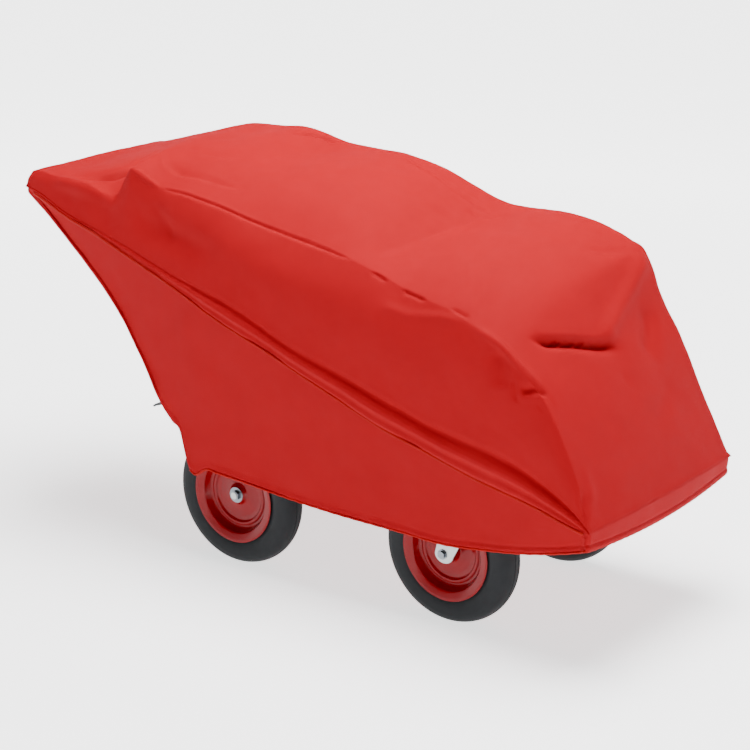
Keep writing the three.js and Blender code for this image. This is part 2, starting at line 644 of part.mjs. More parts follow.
function buildCover() {
  const inside = new THREE.Vector3(0, 0, 600);
  const stations = [
    -960, -930, -880, -820, -740, -670, -630, -592, -560, -500, -420, -340, -260, -170, -80, 10, 90, 170, 260,
    350, 440, 530, 610, 665, 700, 740, 785, 830, 870, 905, 935, 960,
  ];
  // across the top, from the right seam to the left one
  const section = (x) => {
    const edge = seamHalfWidth(x);
    const low = seamHeight(x) + SEAM_ALLOWANCE;
    const shoulder = shoulderHalfWidth(x);
    const right = rightShoulder(x);
    const left = leftShoulder(x);
    const middle = middleHeight(x);
    const wall = (high, share) => low + (high - low) * share;
    return [
      [-edge, low], [1 - edge, wall(right, 0.3)],
      [-shoulder - 8, wall(right, 0.7)], [-shoulder - 2, wall(right, 0.93)],
      [12 - shoulder, right + (middle - right) * 0.06], [-shoulder * 0.7, right + (middle - right) * 0.45],
      [-shoulder * 0.35, right + (middle - right) * 0.85], [0, middle],
      [shoulder * 0.4, middle + (left - middle) * 0.35],
      [shoulder * 0.75, left], [shoulder - 10, left - (left - low) * 0.02], [shoulder, wall(left, 0.93)],
      [shoulder + 10, wall(left, 0.7)], [edge - 2, wall(left, 0.35)], [edge, low],
    ];
  };
  const top = (u, v) => {
    const x = stations[Math.round(u * (stations.length - 1))];
    const points = section(x);
    const [y, z] = points[Math.round(v * (points.length - 1))];
    return new THREE.Vector3(bowed(x, y), y, z);
  };
  add('cover_top', cloth(top, stations.length - 1, section(0).length - 1, inside), LOOKS.cover);

  const sideStations = [
    -950, -900, -830, -750, -674, -598, -523, -450, -408, -376, -356, -275, -150, -10, 125, 260, 390,
    515, 640, 760, 880, 955,
  ];
  for (const [side, sign] of Object.entries(SIDES)) {
    const panel = (u, v) => {
      const x = sideStations[Math.round(u * (sideStations.length - 1))];
      const high = seamHeight(x) - 1;
      const y = sign * (seamHalfWidth(x) - SIDE_LEAN * v);
      return new THREE.Vector3(x, y, high + (hemHeight(x) - high) * v);
    };
    add(`cover_side_${side}`, cloth(panel, sideStations.length - 1, 3, inside), LOOKS.cover);
    const bindingStations = 14;
    const binding = (u, v) => {
      const x = -930 + u * (940 + 930);
      return new THREE.Vector3(x, sign * (seamHalfWidth(x) + 3.2), seamHeight(x) + (6 + 3 * u) * (1 - 2 * v));
    };
    add(`seam_binding_${side}`, cloth(binding, bindingStations, 1, inside, 2), LOOKS.binding);
  }

  const rearHeights = [962, 930, 880, 820, 750, 670, 580, 510, REAR_HEM_Z];
  const rearX = through([
    [440, -450], [559, -523], [661, -598], [739, -674], [800, -751], [858, -833], [908, -900], [962, -966],
  ]);
  const rear = (u, v) => {
    const z = rearHeights[Math.round(u * (rearHeights.length - 1))];
    const x = rearX(z);
    const halfWidth = seamHalfWidth(x) - SIDE_LEAN - CLOTH - 2;
    return new THREE.Vector3(x, halfWidth * (2 * v - 1), z);
  };
  add('cover_rear', cloth(rear, rearHeights.length - 1, 6, inside), LOOKS.cover);

  const nose = (u, v) => {
    const y = (COVER_HALF_WIDTH - 1) * (2 * v - 1);
    const dip = 14 * (1 - (y / COVER_HALF_WIDTH) ** 2);
    const low = hemHeight(NOSE_X) - dip;
    return new THREE.Vector3(bowed(NOSE_X, y) - (1 - u) * 2, y, low + (seamHeight(NOSE_X) - 1 - low) * u);
  };
  add('cover_nose_band', cloth(nose, 2, 12, inside), LOOKS.cover);

  const drop = 6;
  const half = [
    [-322, 285], [-275, 279], [-150, 270], [-10, 259], [125, 252], [390, 248], [515, 246],
    [640, 260], [760, 279], [880, 308],
  ].map(([x, z]) => [x, seamHalfWidth(x) - SIDE_LEAN - 2, z - drop]);
  const corner = [
    [922, 345, 318 - drop], [944, 336, 321 - drop], [951, 312, 319 - drop], [955, 240, 317 - drop],
    [961, 120, 316 - drop],
  ];
  const halfLoop = [...half, ...corner];
  const loop = [...halfLoop, [965, 0, 315 - drop], ...halfLoop.map(([x, y, z]) => [x, -y, z]).reverse()];
  add('hem_elastic', tube(loop, 2.5, 56, 6), LOOKS.elastic);
}

buildUnderframe();
buildTub();
buildSeats();
buildHandle();
buildBrake();
buildRearWheels();
buildCasters();
buildCover();

export default buggy;
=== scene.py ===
import json
import math

import bmesh
import bpy
import numpy as np
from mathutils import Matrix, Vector, noise
from mathutils.bvhtree import BVHTree


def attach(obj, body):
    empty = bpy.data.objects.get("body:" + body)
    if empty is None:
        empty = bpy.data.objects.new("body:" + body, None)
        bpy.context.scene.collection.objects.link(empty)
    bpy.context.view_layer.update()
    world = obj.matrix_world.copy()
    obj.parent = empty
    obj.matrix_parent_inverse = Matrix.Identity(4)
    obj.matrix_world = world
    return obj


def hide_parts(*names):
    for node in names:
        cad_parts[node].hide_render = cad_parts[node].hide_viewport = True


# Six-seat push buggy under its fitted storage cover.
# Metres. +X is forward (nose), +Y is the buggy's left side, +Z is up, and the floor is at z = 0.

SIDES = {"left": 1, "right": -1}

# ---------------------------------------------------------------- camera, measured
# The camera, the cover's line tables and its fold points were worked out from the photo by scratch scripts
# (a camera fit, back-projection and rays cast onto the cover), typed in rounded, and some then moved by eye.
CAMERA_AT = (4.08376, -5.48462, 2.75563)
CAMERA_YAW = 0.6352977
CAMERA_PITCH = 0.3167478
CAMERA_LENS = 124.8
FLOOR_GLOW = 1.6
FAR_FLOOR_GLOW = 3.8
WALL_GLOW = 0.0
WALL_DISTANCE = 28.0
WALL_HEIGHT = 6.0
WALL_SIDES = 96

# ---------------------------------------------------------------- wheels and fork
WHEEL_RADIUS = 0.200
REAR_AXLE_X = -0.220
REAR_WHEEL_Y = 0.269
REAR_HUB = (0.024, 0.053)
FRONT_AXLE_X = 0.489
FRONT_WHEEL_Y = 0.262
FRONT_HUB = (0.0455, 0.0455)
KINGPIN_X = 0.544
FORK_INSIDE = 0.046
FORK_PLATE = 0.005
FORK_CROWN_Z = 0.406
FORK_FOOT = 0.029
FORK_FOOT_AHEAD = 0.005

# ---------------------------------------------------------------- seats and handle
SEAT_ROWS = ("rear", "middle", "front")
PAD_VOXEL = 0.006
PAD_SHRINK = 0.006
PAD_SWELL = 0.010
PAD_CHANNELS = (-0.172, -0.086, 0.0, 0.086, 0.172)
HANDLE_X = -0.938
HANDLE_Z = 0.966
HANDLE_TUBE = 0.0125
GRIP_RADIUS = 0.0155
GRIP_HALF_LENGTH = 0.185
HANDLE_LEG_Y = 0.299

# ---------------------------------------------------------------- cover
CLOTH = 0.0012
COVER_HALF_WIDTH = 0.356
TAIL_HALF_WIDTH = 0.286
NARROWING_STARTS = -0.25
NOSE_X = 0.963
NOSE_BOW = 0.013
TAIL_X = -0.980
SIDE_LEAN = 0.008
SKIRT_INSET = 0.0025
STITCH_PITCH = 0.0055
STITCH_LENGTH = 0.0038
STITCH_THICK = 0.0005
REAR_HEM_Z = 0.458
REAR_TOP_Z = 0.967

# lines along the cover's length, as (x, height) or (x, distance to the left) pairs
SEAM_LOW = [
    (-.980, .963), (-.93, .950), (-.79, .906), (-.695, .884), (-.575, .848), (-.385, .787),
    (-.211, .718), (-.044, .662), (.065, .622), (.2, .574), (.318, .532), (.449, .499), (.604, .458),
    (.793, .420), (.94, .382), (.963, .378),
]
SEAM_HIGH = [
    (-.980, .966), (-.93, .957), (-.825, .922), (-.6, .870), (-.38, .808), (-.169, .748), (-.003, .685),
    (.2, .625), (.449, .552), (.791, .475), (.932, .404), (.963, .380),
]
RIGHT_SHOULDER_Z = [
    (-.980, .963), (-.9795, .981), (-.976, .996), (-.964, 1.007), (-.93, 1.011), (-.88, 1.006),
    (-.82, 1.004), (-.74, 1.000), (-.67, .984), (-.635, .992), (-.605, 1.042), (-.583, 1.072),
    (-.555, 1.062), (-.53, 1.050), (-.48, 1.034), (-.43, 1.030), (-.38, 1.026), (-.30, 1.014),
    (-.17, .984), (.005, .950), (.175, .934), (.26, .916), (.36, .888), (.43, .876), (.51, .864),
    (.58, .840), (.66, .812), (.7, .786), (.75, .746), (.82, .676), (.9, .530), (.935, .448),
    (.963, .380),
]
LEFT_SHOULDER_Z = [
    (-.980, .963), (-.9795, .975), (-.976, .984), (-.964, .993), (-.93, 1.000), (-.89, 1.012),
    (-.81, 1.037), (-.73, 1.061), (-.62, 1.092), (-.50, 1.098), (-.43, 1.108), (-.35, 1.098),
    (-.28, 1.081), (-.21, 1.078), (-.14, 1.079), (-.07, 1.075), (0, 1.064), (.07, 1.050), (.135, 1.028),
    (.2, 1.005), (.27, .985), (.335, .984), (.4, .988), (.47, .989), (.53, .982), (.6, .964),
    (.66, .942), (.698, .920), (.72, .880), (.745, .818), (.81, .700), (.875, .560), (.93, .444),
    (.963, .380),
]
MIDDLE_Z = [
    (-.980, .963), (-.9795, .979), (-.976, .992), (-.964, 1.001), (-.93, 1.006), (-.88, 1.012),
    (-.8, 1.028), (-.73, 1.046), (-.66, 1.074), (-.6, 1.100), (-.5, 1.111), (-.4, 1.106), (-.32, 1.092),
    (-.25, 1.084), (-.15, 1.084), (-.05, 1.074), (.06, 1.046), (.15, 1.008), (.23, .970), (.28, .962),
    (.35, .970), (.45, .974), (.55, .960), (.64, .928), (.7, .886), (.745, .822), (.82, .700),
    (.89, .562), (.935, .455), (.963, .380),
]
RIGHT_SHOULDER_HALF_WIDTH = [
    (-.980, .262), (-.8, .280), (-.6, .285), (-.45, .284), (-.2, .276), (.1, .276), (.35, .286),
    (.5, .306), (.66, .325), (.96, .345),
]
LEFT_SHOULDER_HALF_WIDTH = [
    (-.980, .262), (-.8, .284), (-.6, .296), (-.2, .306), (.4, .312), (.7, .320), (.96, .345),
]
RIGHT_WALL_HALF_WIDTH = [
    (-.980, .284), (-.75, .303), (-.55, .312), (-.4, .326), (-.2, .340), (.1, .349), (.963, .357),
]
HEM = [
    (-.980, .942), (-.90, .893), (-.833, .846), (-.751, .788), (-.674, .727), (-.598, .649),
    (-.523, .548), (-.45, .432), (-.408, .390), (-.376, .362), (-.356, .290), (-.275, .279),
    (-.15, .270), (-.01, .259), (.125, .252), (.39, .248), (.515, .246), (.64, .260), (.76, .279),
    (.88, .308), (.958, .332),
]
REAR_PANEL_X = [
    (.440, -.450), (.559, -.523), (.661, -.598), (.739, -.674), (.8, -.751), (.858, -.833),
    (.908, -.900), (.968, -.980),
]

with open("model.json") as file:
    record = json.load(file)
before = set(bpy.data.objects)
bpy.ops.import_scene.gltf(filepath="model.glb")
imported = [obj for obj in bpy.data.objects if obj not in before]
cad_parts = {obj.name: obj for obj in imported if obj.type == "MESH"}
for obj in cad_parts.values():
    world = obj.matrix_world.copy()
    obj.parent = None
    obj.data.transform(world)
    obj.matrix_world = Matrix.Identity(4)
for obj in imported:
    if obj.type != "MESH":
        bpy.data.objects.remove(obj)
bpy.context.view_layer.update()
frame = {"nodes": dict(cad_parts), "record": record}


# ---------------------------------------------------------------- curves
def follow(pairs, at):
    """A smooth value at each place in at, through (place, value) pairs."""
    places = np.array([p[0] for p in pairs], float)
    values = np.array([p[1] for p in pairs], float)
    slopes = np.gradient(values, places)
    at = np.clip(np.asarray(at, float), places[0], places[-1])
    i = np.clip(np.searchsorted(places, at) - 1, 0, len(places) - 2)
    width = places[i + 1] - places[i]
    t = (at - places[i]) / width
    rise = t * t * (3 - 2 * t)
    bend = width * t * (1 - t) * (slopes[i] * (1 - t) - slopes[i + 1] * t)
    return values[i] + (values[i + 1] - values[i]) * rise + bend


def smooth(t):
    t = np.clip(t, 0, 1)
    return t * t * (3 - 2 * t)


def spline_weights(count, samples, degree=3):
    """Clamped B-spline weights: one row for each sample, one column for each control point."""
    knots = np.concatenate([np.zeros(degree), np.linspace(0, 1, count - degree + 1), np.ones(degree)])
    at = np.clip(samples, 0, 1 - 1e-9)
    basis = np.zeros((len(at), len(knots) - 1))
    for k in range(len(knots) - 1):
        basis[:, k] = (at >= knots[k]) & (at < knots[k + 1])
    for d in range(1, degree + 1):
        raised = np.zeros((len(at), len(knots) - 1 - d))
        for k in range(len(knots) - 1 - d):
            left = knots[k + d] - knots[k]
            right = knots[k + d + 1] - knots[k + 1]
            if left > 0:
                raised[:, k] += (at - knots[k]) / left * basis[:, k]
            if right > 0:
                raised[:, k] += (knots[k + d + 1] - at) / right * basis[:, k + 1]
        basis = raised
    return basis


def seam_half_width(x):
    t = np.clip((NARROWING_STARTS - x) / (NARROWING_STARTS - TAIL_X), 0, 1)
    return COVER_HALF_WIDTH - (COVER_HALF_WIDTH - TAIL_HALF_WIDTH) * t ** 1.5


def bow(x, y):
    nose = smooth((x - 0.7) / (NOSE_X - 0.7)) * NOSE_BOW * (1 - (y / COVER_HALF_WIDTH) ** 2)
    tail = smooth((-0.88 - x) / 0.08) * 0.008 * (1 - (y / 0.30) ** 4)
    return x + nose - tail


# ---------------------------------------------------------------- mesh helpers
def new_object(name, points, faces, smooth_faces=True):
    mesh = bpy.data.meshes.new(name)
    mesh.from_pydata([tuple(p) for p in points], [], faces)
    mesh.update()
    obj = bpy.data.objects.new(name, mesh)
    bpy.context.scene.collection.objects.link(obj)
    if smooth_faces:
        for polygon in mesh.polygons:
            polygon.use_smooth = True
    return obj


def grid_faces(rows, columns, wrap=False):
    faces = []
    for i in range(rows - 1):
        for j in range(columns if wrap else columns - 1):
            k = (j + 1) % columns
            faces.append((i * columns + j, i * columns + k, (i + 1) * columns + k, (i + 1) * columns + j))
    return faces


def grid_object(name, points):
    rows, columns = points.shape[:2]
    return new_object(name, points.reshape(-1, 3), grid_faces(rows, columns))


def grid_normals(points):
    along = np.gradient(points, axis=0)
    across = np.gradient(points, axis=1)
    normals = np.cross(along, across)
    return normals / np.maximum(np.linalg.norm(normals, axis=2, keepdims=True), 1e-9)


def thicken(obj, thickness=CLOTH):
    solid = obj.modifiers.new("thickness", "SOLIDIFY")
    solid.thickness = thickness
    solid.offset = -1
    return obj


def bevel(obj, width, segments=3, angle=35):
    rounded = obj.modifiers.new("rounded_edges", "BEVEL")
    rounded.width = width
    rounded.segments = segments
    rounded.limit_method = "ANGLE"
    rounded.angle_limit = math.radians(angle)
    rounded.harden_normals = False
    for polygon in obj.data.polygons:
        polygon.use_smooth = True
    normals = obj.modifiers.new("even_shading", "WEIGHTED_NORMAL")
    normals.keep_sharp = True
    return obj


def rounded_section(section, radius, steps=4):
    """A closed outline with each corner turned into a short arc."""
    out = []
    count = len(section)
    for k, corner in enumerate(section):
        p = Vector(corner)
        before = Vector(section[k - 1]) - p
        after = Vector(section[(k + 1) % count]) - p
        reach = min(radius, before.length * 0.45, after.length * 0.45)
        a = p + before.normalized() * reach
        b = p + after.normalized() * reach
        for step in range(steps + 1):
            t = step / steps
            out.append(tuple(a * (1 - t) ** 2 + p * 2 * t * (1 - t) + b * t * t))
    return out


def ring_about_y(name, section, centre, steps=144):
    """A ring about a line along Y. The section is a closed list of (radius, distance along Y)."""
    points = []
    for k in range(steps):
        angle = 2 * math.pi * k / steps
        for radius, along in section:
            x = centre[0] + radius * math.cos(angle)
            z = centre[2] + radius * math.sin(angle)
            points.append((x, centre[1] + along, z))
    count = len(section)
    faces = []
    for k in range(steps):
        n = (k + 1) % steps
        for j in range(count):
            m = (j + 1) % count
            faces.append((k * count + j, k * count + m, n * count + m, n * count + j))
    obj = new_object(name, points, faces)
    face_outwards(obj)
    return obj


def face_outwards(obj):
    work = bmesh.new()
    work.from_mesh(obj.data)
    bmesh.ops.recalc_face_normals(work, faces=work.faces)
    work.to_mesh(obj.data)
    work.free()
    obj.data.update()


def slab_xz(name, outline, low_y, high_y):
    """An outline in X and Z, pulled out along Y."""
    count = len(outline)
    points = [(x, low_y, z) for x, z in outline] + [(x, high_y, z) for x, z in outline]
    faces = [tuple(range(count)), tuple(range(2 * count - 1, count - 1, -1))]
    for k in range(count):
        n = (k + 1) % count
        faces.append((k, k + count, n + count, n))
    obj = new_object(name, points, faces)
    face_outwards(obj)
    return obj


def tube_along(name, path, radius, sides=20, closed=False):
    """A round tube along a smooth curve through the points."""
    curve = bpy.data.curves.new(name, "CURVE")
    curve.dimensions = "3D"
    spline = curve.splines.new("NURBS")
    spline.points.add(len(path) - 1)
    for point, place in zip(spline.points, path):
        point.co = (*place, 1)
    spline.order_u = 4
    spline.use_endpoint_u = not closed
    spline.use_cyclic_u = closed
    spline.resolution_u = 6
    curve.bevel_depth = radius
    curve.bevel_resolution = sides // 4
    curve.use_fill_caps = not closed
    rough = bpy.data.objects.new(name, curve)
    bpy.context.scene.collection.objects.link(rough)
    bpy.context.view_layer.update()
    mesh = bpy.data.meshes.new_from_object(rough.evaluated_get(bpy.context.evaluated_depsgraph_get()))
    bpy.data.objects.remove(rough)
    bpy.data.curves.remove(curve)
    mesh.name = name
    obj = bpy.data.objects.new(name, mesh)
    bpy.context.scene.collection.objects.link(obj)
    for polygon in mesh.polygons:
        polygon.use_smooth = True
    return obj


def merge(name, objects):
    """Several mesh objects as one, at the origin."""
    work = bmesh.new()
    for obj in objects:
        work.from_mesh(obj.data)
    mesh = bpy.data.meshes.new(name)
    work.to_mesh(mesh)
    work.free()
    for obj in objects:
        bpy.data.objects.remove(obj)
    result = bpy.data.objects.new(name, mesh)
    bpy.context.scene.collection.objects.link(result)
    return result


# ---------------------------------------------------------------- materials
class Nodes:
    """A material's node tree, with short ways to add and join nodes."""

    def __init__(self, name):
        self.material = bpy.data.materials.new(name)
        self.material.use_nodes = True
        self.tree = self.material.node_tree
        self.shader = self.tree.nodes["Principled BSDF"]
        self.place = self.add("ShaderNodeTexCoord").outputs["Object"]

    def add(self, kind, **inputs):
        node = self.tree.nodes.new(kind)
        for key, value in inputs.items():
            node.inputs[key.replace("_", " ")].default_value = value
        return node

    def link(self, source, target):
        self.tree.links.new(source, target)

    def noise(self, scale, detail=4, roughness=0.5):
        node = self.add("ShaderNodeTexNoise", Scale=scale, Detail=detail, Roughness=roughness)
        self.link(self.place, node.inputs["Vector"])
        return node.outputs["Fac"]

    def wave(self, direction, scale, distortion=0.0):
        node = self.add("ShaderNodeTexWave", Scale=scale, Distortion=distortion)
        node.bands_direction = direction
        self.link(self.place, node.inputs["Vector"])
        return node.outputs["Fac"]

    def spread(self, source, low, high):
        node = self.add("ShaderNodeMapRange", To_Min=low, To_Max=high)
        self.link(source, node.inputs["Value"])
        return node.outputs["Result"]

    def maths(self, operation, a, b):
        node = self.tree.nodes.new("ShaderNodeMath")
        node.operation = operation
        for socket, value in zip(node.inputs, (a, b)):
            if isinstance(value, (int, float)):
                socket.default_value = value
            else:
                self.link(value, socket)
        return node.outputs[0]

    def colour_between(self, factor, dark, light):
        node = self.tree.nodes.new("ShaderNodeMix")
        node.data_type = "RGBA"
        node.inputs[6].default_value = (*dark, 1)
        node.inputs[7].default_value = (*light, 1)
        self.link(factor, node.inputs[0])
        self.link(node.outputs[2], self.shader.inputs["Base Color"])
        return node.outputs[2]

    def bump(self, height, distance, strength=1.0, under=None):
        node = self.add("ShaderNodeBump", Distance=distance, Strength=strength)
        self.link(height, node.inputs["Height"])
        if under is not None:
            self.link(under, node.inputs["Normal"])
        self.link(node.outputs["Normal"], self.shader.inputs["Normal"])
        return node.outputs["Normal"]

    def set(self, **values):
        for key, value in values.items():
            self.shader.inputs[key.replace("_", " ")].default_value = value
        return self


def nylon(name, dark, light, roughness, sheen):
    """Coated woven nylon: fine crossed threads, a little mottling and soft small creases."""
    n = Nodes(name)
    weave = n.maths("ADD", n.wave("X", 420), n.maths("ADD", n.wave("Y", 420), n.wave("Z", 420)))
    n.colour_between(n.noise(9, 5), dark, light)
    n.link(n.spread(n.noise(30, 3), roughness - 0.06, roughness + 0.06), n.shader.inputs["Roughness"])
    creases = n.bump(n.noise(14, 6, 0.6), 0.004, 0.25)
    n.bump(weave, 0.0002, 0.5, under=creases)
    n.set(Specular_IOR_Level=0.08, Sheen_Weight=sheen, Sheen_Roughness=0.5)
    return n.material


def rubber(name, colour, roughness=0.62):
    n = Nodes(name)
    lighter = tuple(c * 1.5 for c in colour)
    n.colour_between(n.noise(40, 6), colour, lighter)
    n.link(n.spread(n.noise(70, 4), roughness - 0.08, roughness + 0.1), n.shader.inputs["Roughness"])
    n.bump(n.noise(600, 3), 0.0003, 0.5)
    n.set(Specular_IOR_Level=0.12)
    return n.material


def enamel(name, dark, light, roughness=0.2):
    """Glossy baked paint on pressed steel, with faint orange peel."""
    n = Nodes(name)
    n.colour_between(n.noise(25, 4), dark, light)
    n.link(n.spread(n.noise(60, 5), roughness - 0.05, roughness + 0.08), n.shader.inputs["Roughness"])
    n.bump(n.noise(180, 2), 0.0002, 0.35)
    n.set(Coat_Weight=0.07, Coat_Roughness=0.06, Specular_IOR_Level=0.12)
    return n.material


def zinc(name, light=(0.27, 0.285, 0.285)):
    """Bright zinc plate with a faint brushed grain and patchy sheen."""
    n = Nodes(name)
    n.colour_between(n.noise(50, 6), light, tuple(c * 1.35 for c in light))
    n.link(n.spread(n.noise(90, 5), 0.22, 0.42), n.shader.inputs["Roughness"])
    n.bump(n.noise(500, 3), 0.00015, 0.4)
    n.set(Metallic=1.0)
    return n.material


def powder_coat(name, colour):
    n = Nodes(name)
    n.colour_between(n.noise(30, 4), colour, tuple(c * 1.35 for c in colour))
    n.link(n.spread(n.noise(80, 4), 0.4, 0.56), n.shader.inputs["Roughness"])
    n.bump(n.noise(900, 2), 0.0003, 0.5)
    n.set(Specular_IOR_Level=0.4)
    return n.material


def moulded(name, dark, light, roughness, grain):
    """Moulded plastic or foam: fine grain and slight unevenness."""
    n = Nodes(name)
    n.colour_between(n.noise(6, 5), dark, light)
    n.link(n.spread(n.noise(25, 4), roughness - 0.06, roughness + 0.08), n.shader.inputs["Roughness"])
    n.bump(n.noise(grain, 4), 0.0004, 0.5)
    n.set(Specular_IOR_Level=0.4)
    return n.material


def seamless_white(name, near_glow, far_glow):
    """Studio paper, lit a little from behind so that it stays near white."""
    n = Nodes(name)
    n.colour_between(n.noise(3, 2), (0.88, 0.88, 0.89), (0.90, 0.90, 0.91))
    n.set(Roughness=0.8, Emission_Color=(1.0, 1.0, 1.0, 1))
    distance = n.tree.nodes.new("ShaderNodeVectorMath")
    distance.operation = "LENGTH"
    n.link(n.place, distance.inputs[0])
    glow = n.add("ShaderNodeMapRange", From_Min=1.0, From_Max=4.5, To_Min=near_glow, To_Max=far_glow)
    n.link(distance.outputs["Value"], glow.inputs["Value"])
    n.link(glow.outputs["Result"], n.shader.inputs["Emission Strength"])
    return n.material


MATERIALS = {
    "cover_cloth": nylon("cover_nylon", (0.245, 0.0, 0.003), (0.275, 0.0, 0.004), 0.75, 0.0),
    "cover_binding": nylon("binding_nylon", (0.24, 0.0, 0.0), (0.28, 0.0, 0.0), 0.55, 0.0),
    "hem_elastic": nylon("hem_nylon", (0.25, 0.0, 0.0), (0.29, 0.0, 0.0), 0.6, 0.0),
    "tub_plastic": moulded("tub_plastic", (0.50, 0.014, 0.018), (0.58, 0.020, 0.024), 0.38, 260),
    "seat_plastic": moulded("seat_plastic", (0.26, 0.29, 0.31), (0.31, 0.34, 0.36), 0.45, 320),
    "seat_pad": nylon("pad_fabric", (0.035, 0.045, 0.06), (0.05, 0.06, 0.08), 0.8, 0.2),
    "frame_paint": powder_coat("frame_paint", (0.020, 0.022, 0.025)),
    "zinc": zinc("zinc_plate"),
    "rim_paint": enamel("rim_enamel", (0.15, 0.0, 0.002), (0.19, 0.001, 0.003), 0.14),
    "tyre_rubber": rubber("tyre_rubber", (0.009, 0.010, 0.011)),
    "hub_bush": moulded("hub_bush", (0.60, 0.58, 0.52), (0.70, 0.68, 0.62), 0.45, 300),
    "handle_foam": rubber("handle_foam", (0.012, 0.013, 0.014), 0.85),
    "brake_rubber": rubber("brake_rubber", (0.03, 0.026, 0.022), 0.8),
}


BOLT_ZINC = zinc("bolt_zinc", (0.13, 0.145, 0.16))


def dress(obj, slot, material=None):
    obj.data.materials.clear()
    obj.data.materials.append(material or MATERIALS[slot])
    return obj


# ---------------------------------------------------------------- cover: folds
def fold(points, depth=0.0, step=0.0, width=0.012, ends=0.25):
    """A crease along points. Depth pushes the cloth out, or in if negative, and step lifts one side."""
    return {"points": np.array(points, float), "depth": depth, "step": step, "width": width, "ends": ends}


TOP_FOLDS = [
    # the slack valley between the handle and the rear seats
    fold([
        (-.74, .08, 1.05), (-.70, -.04, 1.05), (-.69, -.15, 1.03), (-.72, -.20, 1.01),
        (-.77, -.23, 1.0), (-.83, -.25, 1.0),
    ], depth=-.032, width=.023),
    fold([
        (-.70, -.02, 1.05), (-.69, -.14, 1.03), (-.73, -.20, 1.01), (-.79, -.235, 1.0),
    ], depth=-.012, width=.009),
    fold([
        (-.90, -.277, .995), (-.78, -.288, .995), (-.70, -.296, .99), (-.60, -.31, .96),
    ], depth=.010, width=.020),
    # the top edge of the rear seat's back, and the cloth pulled round its corners
    fold([
        (-.583, -.272, 1.072), (-.60, -.10, 1.09), (-.62, .08, 1.10), (-.63, .26, 1.09),
    ], depth=.006, width=.016, ends=.1),
    fold([(-.585, -.275, 1.07), (-.535, -.28, 1.052), (-.48, -.284, 1.034)], depth=.008, width=.008),
    fold([
        (-.58, -.13, 1.09), (-.525, -.20, 1.07), (-.46, -.22, 1.06), (-.40, -.212, 1.058),
        (-.29, -.20, 1.044), (-.23, -.18, 1.042),
    ], depth=-.006, step=.003, width=.009),
    fold([
        (-.55, -.07, 1.10), (-.47, -.10, 1.09), (-.41, -.094, 1.09), (-.36, -.042, 1.09),
    ], depth=-.004, width=.012),
    fold([(-.37, -.157, 1.07), (-.31, -.17, 1.06), (-.27, -.173, 1.05)], depth=-.004, width=.007),
    fold([
        (-.40, .20, 1.10), (-.372, .24, 1.10), (-.327, .26, 1.09), (-.28, .255, 1.08),
    ], depth=-.012, width=.011),
    fold([
        (-.57, -.315, .944), (-.45, -.322, .929), (-.34, -.329, .905), (-.22, -.335, .885),
    ], depth=-.012, width=.038),
    fold([(-.50, -.31, 1.0), (-.44, -.325, .95), (-.40, -.33, .90)], depth=-.006, width=.020),
    # the stitched edge of the middle hump, and the pinches where it runs out
    fold([
        (-.48, -.284, 1.033), (-.40, -.279, 1.03), (-.26, -.274, 1.008), (-.14, -.268, .981),
        (.016, -.263, .956), (.172, -.274, .933),
    ], depth=-.004, step=-.002, width=.005, ends=.08),
    fold([(.235, -.28, .915), (.291, -.287, .899)], depth=-.005, width=.006),
    fold([(.337, -.29, .885), (.38, -.294, .88), (.424, -.297, .872)], depth=-.006, width=.006),
    fold([(.50, -.30, .868), (.52, -.302, .864), (.56, -.304, .852)], depth=-.005, width=.007),
    fold([
        (-.05, .255, 1.072), (.08, .232, 1.044), (.185, .22, 1.005), (.28, .206, .976),
    ], depth=-.004, step=.002, width=.007, ends=.12),
    # the dip between the middle and the front humps
    fold([
        (.19, -.26, .93), (.24, -.10, .95), (.255, .05, .965), (.28, .22, .975),
    ], depth=-.006, width=.022),
    fold([(.21, .19, .99), (.28, .17, .973), (.33, .198, .978)], depth=-.006, width=.010),
    fold([(.16, .12, 1.0), (.24, .10, .97), (.30, .05, .965)], depth=-.003, width=.012),
    # the front hump, its right edge and the face below it
    fold([
        (.43, -.10, .955), (.51, -.21, .912), (.549, -.261, .879), (.586, -.314, .839),
    ], step=.002, width=.014),
    fold([
        (.27, -.318, .855), (.31, -.32, .843), (.378, -.32, .833), (.482, -.316, .846),
        (.569, -.317, .837),
    ], depth=.006, width=.013),
    fold([
        (.56, -.312, .842), (.663, -.323, .81), (.725, -.325, .77), (.766, -.32, .738),
        (.81, -.318, .69),
    ], depth=.006, width=.012),
    fold([
        (.70, -.26, .825), (.736, -.207, .801), (.761, -.129, .784), (.784, -.045, .761),
        (.80, .05, .741),
    ], depth=-.026, step=-.008, width=.010),
    fold([
        (.700, .31, .915), (.718, .257, .88), (.736, .177, .84), (.761, .063, .798), (.785, -.02, .765),
    ], depth=.013, width=.024, ends=.12),
    fold([(.76, .24, .80), (.792, .203, .742), (.829, .132, .685)], depth=-.013, width=.034),
    fold([(.85, .20, .62), (.88, .12, .57), (.90, .02, .53)], depth=-.005, width=.030),
    fold([(.60, .12, .95), (.66, .196, .932), (.70, .287, .91)], depth=-.004, width=.012),
    fold([(.835, -.01, .68), (.86, .02, .636)], depth=-.004, width=.007),
    fold([(.735, -.344, .70), (.777, -.336, .713), (.81, -.31, .70)], depth=-.011, step=.003, width=.009),
    fold([(.795, -.345, .67), (.819, -.30, .682)], depth=-.008, width=.008),
    fold([(.72, -.341, .734), (.732, -.349, .674)], depth=-.005, width=.007),
    fold([(.66, -.332, .80), (.677, -.341, .752), (.69, -.345, .70)], depth=-.009, width=.026),
    fold([(.925, -.33, .48), (.937, -.345, .44), (.948, -.353, .405)], depth=-.007, width=.012),
    fold([(.90, -.30, .53), (.925, -.30, .47), (.94, -.31, .43)], depth=.004, width=.014),
]


